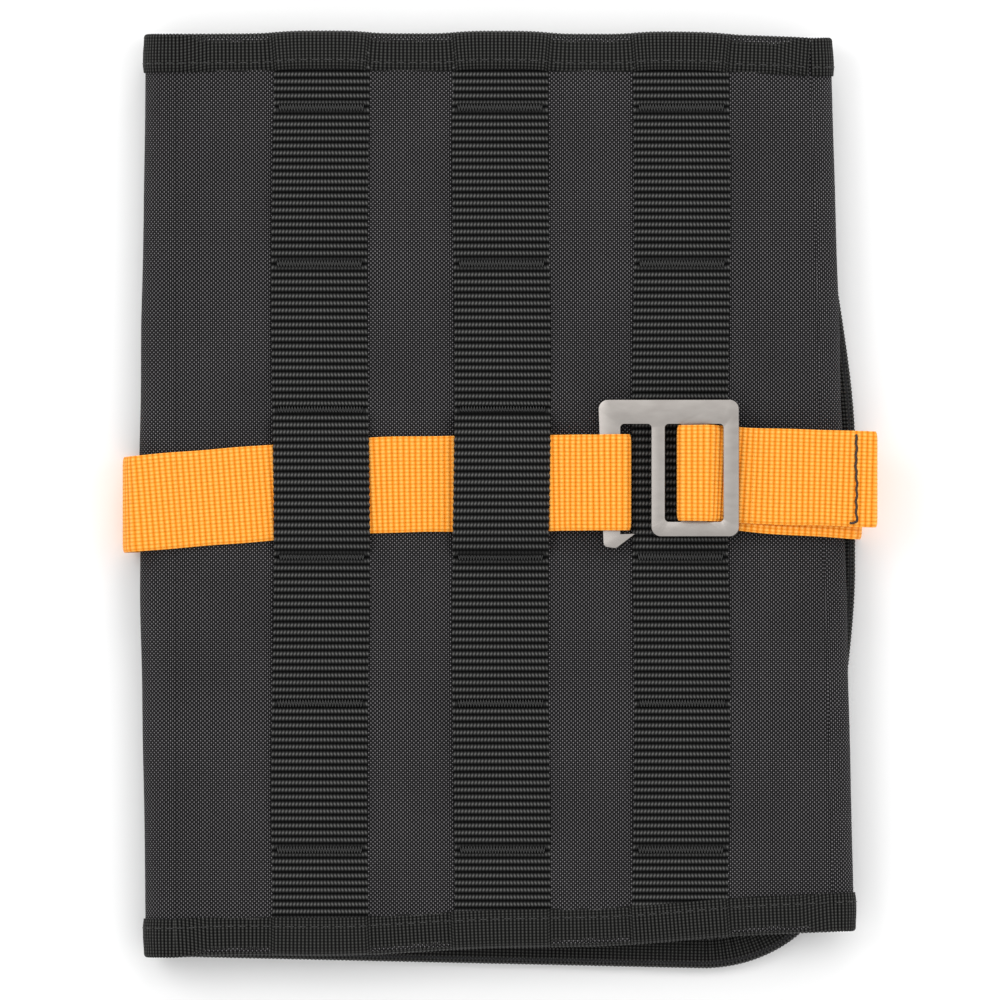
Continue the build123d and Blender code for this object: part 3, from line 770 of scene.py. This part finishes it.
def outer_place(x, y):
    """The outer wing reaches to the right. Its free edge is widest under the strap, and pulled in above and
    below it by 3t^2 - 2t^3."""
    above = 7 * smooth((y - 13 * MM) / (70 * MM))
    below = 3.5 * smooth((-18 * MM - y) / (50 * MM)) * smooth((y + 120 * MM) / (45 * MM))
    return left_x + x - (x / OUTER["width"]) ** 2 * (above + below - 0.8) * MM, y


def inner_place(x, y):
    """The inner wing reaches to the left from the right fold line."""
    return right_place(-x, y)


def wing_grid(shape, columns, rows):
    """x from the fold line to the free edge, closer together round the corners; y between the edges."""
    width, corner = shape["width"] - EDGE_IN, shape["corner"] - EDGE_IN
    straight = np.linspace(PAST, width - corner, columns - columns // 4, endpoint=False)
    x = np.concatenate([straight, width - corner + corner * np.sin(np.linspace(0, np.pi / 2, columns // 4))])
    share = x / shape["width"]
    past = np.maximum(0, x - (width - corner))
    cut = corner - np.sqrt(np.maximum(corner**2 - past**2, 0)) + EDGE_IN
    high = shape["root"][0] + share * (shape["free"][0] - shape["root"][0]) - cut
    low = shape["root"][1] + share * (shape["free"][1] - shape["root"][1]) + cut
    v = np.linspace(0, 1, rows)[None]
    return np.broadcast_to(x[:, None], (columns, rows)), low[:, None] + v * (high - low)[:, None], high, low


def wing_lift(shape, place, strapped, most):
    """Cloth rise of a wing's outer face: held within the tape's width of its edges, at the fold and, on the
    outer wing, under the strap."""
    x, y, high, low = wing_grid(shape, 60, 84)
    px, py = place(x, y)
    edge = np.minimum(np.minimum(high[:, None] - y, y - low[:, None]), shape["width"] - x)
    held = (edge < TAPE_W) | (x < 3 * MM)
    if strapped:
        held |= np.abs(py - 0.8 * MM) < HALF + 1.5 * MM
    return soft(blown_up(px, py, held.astype(float), 0.008, most), 2)


def wing_layer(name, shape, place, low_z, high_z, lift, low_share, high_share):
    """One layer. low_z and high_z hold a height at the fold and one further in. Each face also moves down by
    its share of the rise."""
    x, y, high, low = wing_grid(shape, 90, 120)
    px, py = place(x, y)
    rise = soft(finer(lift, 90, 120), 2)
    full = smooth((x - PAST) / TAPE_W)
    upper = high_z[0] + full * (high_z[1] - high_z[0]) - high_share * rise
    lower = low_z[0] + full * (low_z[1] - low_z[0]) - low_share * rise
    return shell(name, stack(px, py, upper), stack(px, py, lower), np.stack([px, py], -1))


AIR = 0.03 * MM


def wing(word, shape, place, low, high, strapped, most):
    """Face fabric at the back, foam, and lining: three layers that follow each other."""
    foam_low, foam_high = low + FABRIC, high - LINING
    lift = wing_lift(shape, place, strapped, most)
    under_pad, over_pad = foam_low - AIR, (foam_low + AIR, foam_high)
    lining_low, lining_high = (foam_low + 2 * AIR, foam_high + AIR), (foam_low + LINING, high)
    layers = (
        ("cover", FACE, "face_fabric", "fabric", (low, low), (under_pad, under_pad), 1.0, 0.95),
        ("pad", FOAM, "foam", "foam", (foam_low, foam_low), over_pad, 0.9, -0.2),
        ("inside", INSIDE, "lining", "lining", lining_low, lining_high, -0.25, -0.3),
    )
    for kind, material, slot, node, z0, z1, low_share, high_share in layers:
        piece = wing_layer(f"{word}_{kind}", shape, place, z0, z1, lift, low_share, high_share)
        settle(piece, material, slot, body=word, stands_for=[f"{word}_{node}"])


wing("outer_wing", OUTER, outer_place, outer_low, outer_top, True, 1.0 * MM)
wing("inner_wing", INNER, inner_place, inner_low, inner_top, False, 0.5 * MM)

# %% [markdown]
# ## Binding tape
# Grosgrain tape is folded over every raw edge. Its section is a long U that is pressed thinner at
# the edge. The section is drawn as (distance in from the edge, height) and carried along the edge,
# and its ribs stand out along the section's own normal.

# %% Tape sections
RIB = 1.0 * MM
STITCH, STITCH_GAP, STITCH_R = 2.3 * MM, 0.9 * MM, 0.17 * MM


def tape_section(top, back):
    """For each step, the outer and inner line of the U. top and back are its two faces' heights there."""
    theta = np.linspace(-np.pi / 2, np.pi / 2, 7)
    reach = np.linspace(1, 0, 8)[:-1] ** 1.4
    middle, half = ((top + back) / 2)[:, None], ((top - back) / 2)[:, None]
    pressed = half - np.minimum(0.5 * MM, half * 0.25)
    flat_a = pressed + (TAPE_W - pressed) * reach
    rise = smooth((flat_a - pressed) / (5 * MM))
    flat_b = pressed + (half - pressed) * rise - 0.22 * MM * smooth((flat_a - TAPE_W + 0.8 * MM) / (0.8 * MM))
    round_a, round_b = pressed * (1 - np.cos(theta)), pressed * np.sin(theta)
    a = np.concatenate([flat_a, round_a, flat_a[:, ::-1]], 1)
    b = np.concatenate([-flat_b, round_b, flat_b[:, ::-1]], 1)
    return a, b, middle


def tape(name, origin, inward, up, top, back):
    """origin + a * inward + b * up. Ribs |sin(pi s / pitch)| high run across the tape, on its outer line."""
    s = travelled(origin + up * top[:, None])
    a, b, middle = tape_section(top, back)
    da, db = np.gradient(a, axis=1), np.gradient(b, axis=1)
    size = np.maximum(np.hypot(da, db), 1e-9)
    na, nb = db / size, -da / size
    outwards = np.sign((na * (a - TAPE_W / 2) + nb * b).sum(1, keepdims=True))
    na, nb = na * outwards, nb * outwards
    rib = np.abs(np.sin(np.pi * s / RIB))[:, None]
    lift = 0.22 * MM * rib - 0.12 * MM
    outer_a, outer_b = a + na * lift, b + nb * lift
    inner_a, inner_b = a - na * (TAPE - 0.1 * MM), b - nb * (TAPE - 0.1 * MM)
    sec_a = np.concatenate([outer_a, inner_a[:, ::-1]], 1)
    sec_b = np.concatenate([outer_b, inner_b[:, ::-1]], 1) + middle
    points = origin[:, None] + sec_a[..., None] * inward[:, None] + sec_b[..., None] * up[:, None]
    along = np.cumsum(np.hypot(np.diff(a, axis=1, prepend=a[:, :1]), np.diff(b, axis=1, prepend=b[:, :1])), 1)
    t = np.concatenate([along, along[:, ::-1]], 1)
    uv = np.stack([np.broadcast_to(s[:, None], t.shape), t], -1)
    ribs = np.concatenate([rib * np.ones_like(a), 0 * a], 1)
    return carried(name, points, uv, {"rib": ribs})


def stitches(name, places, ups):
    """Short threads end to end along a line. Each arches up by sin(pi t) and dives in at its ends."""
    s = travelled(places)
    starts = np.arange(0.5 * MM, s[-1] - STITCH, STITCH + STITCH_GAP)
    t = np.linspace(0, 1, 7)
    at = starts[:, None] + t[None] * STITCH
    line = np.stack([np.interp(at, s, places[:, k]) for k in range(3)], -1)
    lift = np.stack([np.interp(at, s, ups[:, k]) for k in range(3)], -1)
    rise = (np.sin(np.pi * t) * 0.30 - 0.12) * MM
    return tubes(name, line + lift * rise[None, :, None], STITCH_R)


def even_line(points, step):
    """The same line with points at even steps of length."""
    s = travelled(points)
    at = np.linspace(0, s[-1], int(s[-1] / step) + 1)
    return np.stack([np.interp(at, s, points[:, k]) for k in range(points.shape[1])], -1)


# %% [markdown]
# The tapes on the centre panel ride up over the ends of the webbing columns, and thin out where
# they meet the folds, which have no foam.

# %% Tapes on the centre panel and the folds
STITCH_IN = 7.6 * MM


def over_columns(x):
    """1 over each column, 0 between, with soft shoulders."""
    return sum(smooth((HALF + 1.0 * MM - np.abs(x - c)) / (1.8 * MM)) for c in COLUMNS)


def centre_tape(word, v, toward):
    """The tape on the top or the bottom edge of the centre panel."""
    past = PAST / (right_x - left_x)
    u = np.linspace(past, 1 - past, 2000)
    x, y = front_xy(u, np.full_like(u, v))
    line = even_line(np.stack([x, y], -1), RIB / 6)
    origin = np.column_stack([line, np.zeros(len(line))])
    slope = np.gradient(line, axis=0)
    inward = np.column_stack([-slope[:, 1], slope[:, 0], 0 * slope[:, 0]]) * toward
    inward /= np.linalg.norm(inward, axis=1, keepdims=True)
    up = np.tile([0, 0, 1.0], (len(line), 1))
    ends = smooth((line[:, 0] - line[0, 0]) / TAPE_W) * smooth((line[-1, 0] - line[:, 0]) / TAPE_W)
    top = face_z + TAPE + 1.15 * MM * over_columns(line[:, 0])
    back = (face_z - FABRIC - LINING - TAPE) + ends * (back_z - face_z + FABRIC + LINING)
    piece = tape(f"{word}_tape", origin, inward, up, top, back)
    settle(piece, EDGE, "binding_tape", body="centre", stands_for=[f"centre_{word}_binding"])
    row = stitches(f"{word}_tape_stitches", origin + STITCH_IN * inward + top[:, None] * up, up)
    settle(row, THREAD, "thread", body="centre")


centre_tape("top", 1.0, -1)
centre_tape("bottom", 0.0, 1)


def fold_tape(side, word, y, toward):
    """The tape round one end of a fold: the same U, carried round half a circle about the fold line."""
    radius = left_r if side < 0 else right_r
    far = radius + TAPE
    path = np.arange(-PAST, np.pi * far + PAST, RIB / 6)
    angle = np.clip(path / far, 0, np.pi)
    straight = np.abs(path - angle * far)[:, None]
    x0, y0 = (left_x, y) if side < 0 else right_place(0, y)
    out = np.array([side, 0, 0]) if side < 0 else np.array([lean_cos, lean_sin, 0])
    inward = np.array([0, toward, 0.0]) if side < 0 else toward * np.array([-lean_sin, lean_cos, 0])
    up = np.sin(angle)[:, None] * out + np.cos(angle)[:, None] * np.array([0, 0, 1.0])
    origin = np.array([x0, y0, left_z if side < 0 else right_z]) - straight * out
    inward = np.tile(inward, (len(angle), 1))
    top = np.full(len(angle), radius + TAPE)
    back = np.full(len(angle), radius - FABRIC - LINING - TAPE)
    name = f"{'left' if side < 0 else 'right'}_fold_{word}"
    way = OVER_LEFT if side < 0 else OVER_RIGHT
    piece = tape(f"{name}_tape", origin, inward, up, top, back)
    settle(piece, EDGE, "binding_tape", bend=way, stands_for=[f"{name}_binding"])
    row = stitches(f"{name}_tape_stitches", origin + STITCH_IN * inward + top[:, None] * up, up)
    settle(row, THREAD, "thread", bend=way)


for side, top_y, low_y in ((-1, left_top, left_bottom), (1, right_top, right_bottom)):
    fold_tape(side, "top", top_y, -1)
    fold_tape(side, "bottom", low_y, 1)

# %% [markdown]
# A wing's tape runs from the fold along the top, round both corners and back to the fold. Its two
# faces follow the two faces of the wing, and it has a row of stitches on each.

# %% Tapes round the wings
def wing_edge(shape):
    """The outline from the fold line along the top, down the free edge and back along the bottom, with its
    way inwards."""
    width, corner = shape["width"], shape["corner"]
    top_slope = (shape["free"][0] - shape["root"][0]) / width
    low_slope = (shape["free"][1] - shape["root"][1]) / width
    straight = np.linspace(PAST, width - corner, 60)
    theta = np.linspace(0, np.pi / 2, 40)
    arc_x, arc_y = width - corner + corner * np.sin(theta), corner * (1 - np.cos(theta))
    x = np.concatenate([straight, arc_x[1:], arc_x[::-1], straight[-2::-1]])
    cut = np.concatenate([0 * straight, arc_y[1:]])
    half = len(cut)
    y_top = shape["root"][0] + top_slope * x[:half] - cut
    y_low = shape["root"][1] + low_slope * x[half:] + cut[::-1]
    line = even_line(np.column_stack([x, np.concatenate([y_top, y_low])]), RIB / 4)
    way = np.gradient(line, axis=0)
    way /= np.linalg.norm(way, axis=1, keepdims=True)
    return line, np.column_stack([way[:, 1], -way[:, 0]])


def wing_tape(word, shape, place, low, high):
    """The tape round a wing's free edges. It thins where it meets the fold."""
    line, inward = wing_edge(shape)
    px, py = place(line[:, 0], line[:, 1])
    tip_x, tip_y = place(line[:, 0] + inward[:, 0], line[:, 1] + inward[:, 1])
    origin = np.column_stack([px, py, 0 * px])
    inward3 = np.column_stack([tip_x - px, tip_y - py, 0 * px])
    up = np.tile([0, 0, 1.0], (len(px), 1))
    ends = smooth(line[:, 0] / TAPE_W)
    back = np.full(len(px), low - TAPE)
    thin = low + FABRIC + LINING + TAPE
    top = thin + ends * (high + TAPE - thin)
    piece = tape(f"{word}_tape", origin, inward3, up, top, back)
    settle(piece, EDGE, "binding_tape", body=word, stands_for=[f"{word}_edge_binding"])
    for face, height, way in (("inside", top, 1), ("outside", back, -1)):
        places = origin + STITCH_IN * inward3 + height[:, None] * up
        row = stitches(f"{word}_{face}_stitches", places, way * up)
        settle(row, THREAD, "thread", body=word)


wing_tape("outer_wing", OUTER, outer_place, outer_low, outer_top)
wing_tape("inner_wing", INNER, inner_place, inner_low, inner_top)

# %% [markdown]
# ## Pockets
# Two flat pockets sit on the linings, each with a taped mouth.

# %% Pockets
MOUTH_ABOVE, MOUTH_TAPE_W, BELLY = 7.6 * MM, 7.8 * MM, 0.25 * MM
SMALL_POCKET_UP, SMALL_POCKET_TALL = 18 * MM, 124.3 * MM


def pocket(name, body, place, node, hem_node, facing):
    """A panel that bellies out by sin * sin between its sewn sides, with a folded tape along its mouth."""
    (x0, y0, z0), (x1, y1, z1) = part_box(node)
    if place is right_place:
        x0, x1 = 14 * MM - INNER["width"], -8 * MM
        y0 = right_bottom + SMALL_POCKET_UP
        y1 = y0 + SMALL_POCKET_TALL
    x, y = np.meshgrid(np.linspace(x0, x1, 60), np.linspace(y0, y1, 60), indexing="ij")
    bulge = BELLY * np.sin(np.pi * (x - x0) / (x1 - x0)) * np.sin(np.pi * (y - y0) / (y1 - y0))
    px, py = place(x, y) if place else (x, y)
    outer = (z0 if facing < 0 else z1) + facing * (bulge - BELLY)
    inner = (z1 if facing < 0 else z0) + 0 * bulge
    piece = shell(name, stack(px, py, outer), stack(px, py, inner), np.stack([px, py], -1))
    settle(piece, INSIDE, "lining", body=body, stands_for=[node])
    s = np.linspace(x0, x1, int((x1 - x0) / (RIB / 6)))
    mouth = np.full_like(s, y1 + MOUTH_ABOVE)
    line_x, line_y = place(s, mouth) if place else (s, mouth)
    down = np.array([lean_sin, -lean_cos, 0]) if place else np.array([0, -1.0, 0])
    origin = np.column_stack([line_x, line_y, np.zeros(len(s))])
    top, back = np.full(len(s), max(z0, z1) + 0.02 * MM), np.full(len(s), min(z0, z1) - 0.02 * MM)
    if facing < 0:
        back -= 0.1 * MM
    else:
        top += 0.1 * MM
    tape_piece = flat_tape(f"{name}_mouth", origin, np.tile(down, (len(s), 1)), top, back, MOUTH_TAPE_W)
    settle(tape_piece, EDGE, "binding_tape", body=body, stands_for=[hem_node])


def flat_tape(name, origin, inward, top, back, width):
    """A thin closed strip with ribs on both faces: used where the tape lies flat."""
    s = travelled(origin)
    a = np.linspace(0, width, 9)
    rib = np.abs(np.sin(np.pi * s / RIB))[:, None] * np.ones_like(a)
    base = origin[:, None] + a[None, :, None] * inward[:, None]
    up = np.array([0, 0, 1.0])
    upper = base + (top[:, None] - 0.1 * MM + 0.1 * MM * rib)[..., None] * up
    lower = base + (back[:, None] + 0.1 * MM - 0.1 * MM * rib)[..., None] * up
    uv = np.stack(np.broadcast_arrays(s[:, None], a[None]), -1)
    return shell(name, upper, lower, uv, {"rib": rib})


pocket("centre_pocket_panel", "centre", None, "centre_pocket", "centre_pocket_hem", -1)
pocket("inner_wing_pocket_panel", "inner_wing", right_place, "inner_wing_pocket", "inner_wing_pocket_hem", 1)

# %% [markdown]
# ## Ladder webbing
# A column is sewn down at each bar-tack and stands free between them: lifted by
# 1 - |2t - 1|^n from one row to the next, higher where the strap goes through. Its thick ribs run
# across it every 1.86 mm.

# %% Ladder columns
LADDER_RIB, LADDER_T = 1.86 * MM, 1.2 * MM
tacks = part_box("ladder_bartacks_left")
STRAP_Y, PITCH, ROW = 4.3 * MM, 38.1 * MM, 1.2 * MM
ROWS = np.array([STRAP_Y + (k - 2.5) * PITCH for k in range(6)])
ROWS[-1] = tacks[1][1] - ROW
STRAP_BAY = 2


def ladder_lift(y, strap_lift):
    """Height of the webbing's underside over the face."""
    bay = np.clip(np.searchsorted(ROWS, y) - 1, 0, len(ROWS) - 2)
    t = (y - ROWS[bay]) / (ROWS[bay + 1] - ROWS[bay])
    lifts = np.full(len(ROWS) - 1, 0.55 * MM)
    lifts[STRAP_BAY] = strap_lift
    power = np.where(bay == STRAP_BAY, 10, 5)
    inside = (y > ROWS[0]) & (y < ROWS[-1])
    return np.where(inside, lifts[bay] * (1 - np.abs(2 * np.clip(t, 0, 1) - 1) ** power), 0)


def column_sway(y, middle):
    """How far a column wanders sideways: 0.35 mm sin(y / 21 mm), each column at its own phase."""
    return 0.35 * MM * np.sin(y / (21 * MM) + middle * 90)


def ladder_column(word, middle, strap_lift):
    """One column with its underside, ribs and rounded selvedges."""
    _, low = front_xy(np.array([(middle - left_x) / (right_x - left_x)]), np.array([0.0]))
    _, high = front_xy(np.array([(middle - left_x) / (right_x - left_x)]), np.array([1.0]))
    y = np.arange(low[0] + 5 * MM, high[0] - 5 * MM, LADDER_RIB / 8)
    w = np.sin(np.linspace(-np.pi / 2, np.pi / 2, 19)) * HALF
    Y, W = np.meshgrid(y, w, indexing="ij")
    near_row = np.exp(-((np.abs(Y[..., None] - ROWS).min(-1) / (1.1 * MM)) ** 4))
    near_row = near_row * smooth((11.6 * MM - np.abs(W)) / (0.8 * MM))
    rib = np.abs(np.sin(np.pi * Y / LADDER_RIB)) * (1 - 0.55 * near_row)
    edge = 1 - 0.6 * (np.abs(W) / HALF) ** 20
    under = face_z + 0.04 * MM + ladder_lift(Y, strap_lift) + 0.12 * MM * np.cos(W / HALF * np.pi / 2)
    top = under + edge * (LADDER_T - 0.45 * MM + 0.42 * MM * rib) - 0.12 * MM * near_row
    sway = column_sway(Y, middle) + 0.10 * MM * np.sign(W) * np.sin(2 * np.pi * Y / LADDER_RIB)
    uv = np.stack([Y, W], -1)
    X = middle + W + sway
    piece = shell(f"ladder_column_{word}", stack(X, Y, top), stack(X, Y, under), uv, {"rib": rib})
    settle(piece, WEB, "ladder_webbing", body="centre", stands_for=[f"ladder_webbing_{word}"])
    return lambda x, yy: face_z + 0.16 * MM + LADDER_T - 0.12 * MM + ladder_lift(yy, strap_lift)


def tack_rows(word, middle, top_of):
    """Bar-tacks: one thread zigzags across each row."""
    x = np.linspace(-11 * MM, 11 * MM, 30 * 4 + 1)
    zig = np.abs(((x / (22 * MM) * 30 * 2) % 2) - 1) * 2 - 1
    paths = []
    for row in ROWS:
        y = row + 0.95 * MM * zig
        z = top_of(x, np.full_like(x, row)) - 0.02 * MM + 0.05 * MM * np.cos(zig * np.pi)
        paths.append(np.column_stack([middle + x + column_sway(row, middle), y, z]))
    piece = tubes(f"bartacks_{word}", np.array(paths), 0.2 * MM)
    settle(piece, THREAD, "thread", body="centre", stands_for=[f"ladder_bartacks_{word}"])


for word, middle, strap_lift in zip(("left", "middle", "right"), COLUMNS, (1.95 * MM, 3.3 * MM, 0.55 * MM)):
    tack_rows(word, middle, ladder_column(word, middle, strap_lift))

# %% [markdown]
# ## Small sewing
# A short bar-tack closes the strap's loop under the middle column, and a dark line of thread holds
# the hem at the strap's cut end. Its last stitches have come loose and curl away.

# %% Loop tack and hem stitches
x = np.linspace(-2.6 * MM, 2.6 * MM, 7)[:, None]
y = np.linspace(-10.5 * MM, 10.5 * MM, 60)[None]
z = np.full((7, 60), 19.2 * MM + STRAP_T / 2 + 0.05 * MM) + 0.06 * MM * np.cos(np.arange(60) * np.pi)
paths = stack(COLUMNS[1] + x + 0.25 * MM * np.cos(np.arange(60) * np.pi), STRAP_Y + y, z)
loop_tack = tubes("loop_tack", paths, 0.16 * MM)
settle(loop_tack, THREAD, "thread", body="centre", stands_for=["strap_loop_bartack"])

t = np.linspace(0, 1, 121)
hem_y = 5.5 * MM + (11.6 - 22.6 * t) * MM
hem_x = 92.7 * MM + 0.12 * MM * np.sin(t * 47) + 0.2 * MM * t + 0.10 * MM * np.sin(t * 13)
hem_z = 22.42 * MM + STRAP_T / 2 + 0.10 * MM * np.abs(np.sin(t * 41)) + 0.03 * MM
hem = np.column_stack([hem_x, hem_y, hem_z])
curl = np.linspace(0, 1, 20)[:, None]
loose = hem[-1] + MM * np.hstack([-1.9 * curl, -0.5 * np.sin(curl * 2.2), 0.25 * np.sin(curl * 3)])
whole = np.vstack([hem, loose[1:]])
tail_hem = tubes("tail_hem", whole[None], 0.32 * MM, 8)
settle(tail_hem, HEM_THREAD, "thread", body="strap_tail", stands_for=["tail_hem_stitch"])

# %% [markdown]
# ## The hook
# The hook's outline is right in CAD, so a copy of it is welded and a bevel softens its stamped
# edges.

# %% Hook
source = frame["nodes"]["g_hook"]
plate = source.data.copy()
hook = bpy.data.objects.new("strap_hook", plate)
bpy.context.scene.collection.objects.link(hook)
plate.materials.clear()
bm = bmesh.new()
bm.from_mesh(plate)
bmesh.ops.remove_doubles(bm, verts=bm.verts, dist=0.002 * MM)
bmesh.ops.dissolve_limit(bm, angle_limit=np.radians(1.0), verts=bm.verts, edges=bm.edges)
bmesh.ops.triangulate(bm, faces=[f for f in bm.faces if len(f.verts) > 4])
bm.to_mesh(plate)
bm.free()
for polygon in plate.polygons:
    polygon.use_smooth = True
bevel = hook.modifiers.new("stamped edges", "BEVEL")
bevel.width, bevel.segments, bevel.limit_method, bevel.angle_limit = 0.32 * MM, 3, "ANGLE", np.radians(35)
bevel.harden_normals = True
settle(hook, METAL, "hook_metal", body="g_hook", stands_for=["g_hook"])

# %% [markdown]
# ## Floor, light and camera
# The camera looks straight down through a long lens. Two broad lights and a pale sky leave almost
# no shadow, and a third, lower light rakes across the ribs so that they read.

# %% Stage
floor_mesh = bpy.data.meshes.new("floor")
SPREAD, BELOW = 1.6, -0.3 * MM
corners = [(x * SPREAD, y * SPREAD, BELOW) for x, y in ((-1, -1), (1, -1), (1, 1), (-1, 1))]
floor_mesh.from_pydata(corners, [], [(0, 1, 2, 3)])
floor = bpy.data.objects.new("floor", floor_mesh)
bpy.context.scene.collection.objects.link(floor)
paper, nodes, links, main = finish("paper", 0.9)
main.inputs["Base Color"].default_value = (0.93, 0.93, 0.93, 1)
floor_mesh.materials.append(paper)


def lamp(name, place, turn, size, power):
    """A square area light."""
    data = bpy.data.lights.new(name, "AREA")
    data.size, data.energy = size, power
    light = bpy.data.objects.new(name, data)
    light.location, light.rotation_euler = place, turn
    bpy.context.scene.collection.objects.link(light)


lamp("left_softbox", (-0.7, 0.35, 1.1), (-0.3, -0.55, 0), 0.6, 3.2)
lamp("right_softbox", (0.7, 0.25, 1.1), (-0.2, 0.55, 0), 0.6, 2.2)
lamp("raking", (0.1, 1.1, 0.7), (-1.0, 0.1, 0), 0.5, 3.4)
world = bpy.data.worlds.new("sky")
world.use_nodes = True
world.node_tree.nodes["Background"].inputs[0].default_value = (1, 1, 1, 1)
world.node_tree.nodes["Background"].inputs[1].default_value = 1.0
bpy.context.scene.world = world
bpy.context.scene.view_settings.view_transform = "Standard"

VIEW_WIDTH, HEIGHT, MIDDLE_X, FILM = 0.26, 5.0, 0.26 * MM, 36
lens = bpy.data.cameras.new("camera")
lens.sensor_width, lens.lens, lens.clip_end = FILM, FILM * HEIGHT / VIEW_WIDTH, 20
camera = bpy.data.objects.new("camera", lens)
camera.location = (MIDDLE_X, 0, face_z + HEIGHT)
bpy.context.scene.collection.objects.link(camera)
bpy.context.scene.camera = camera
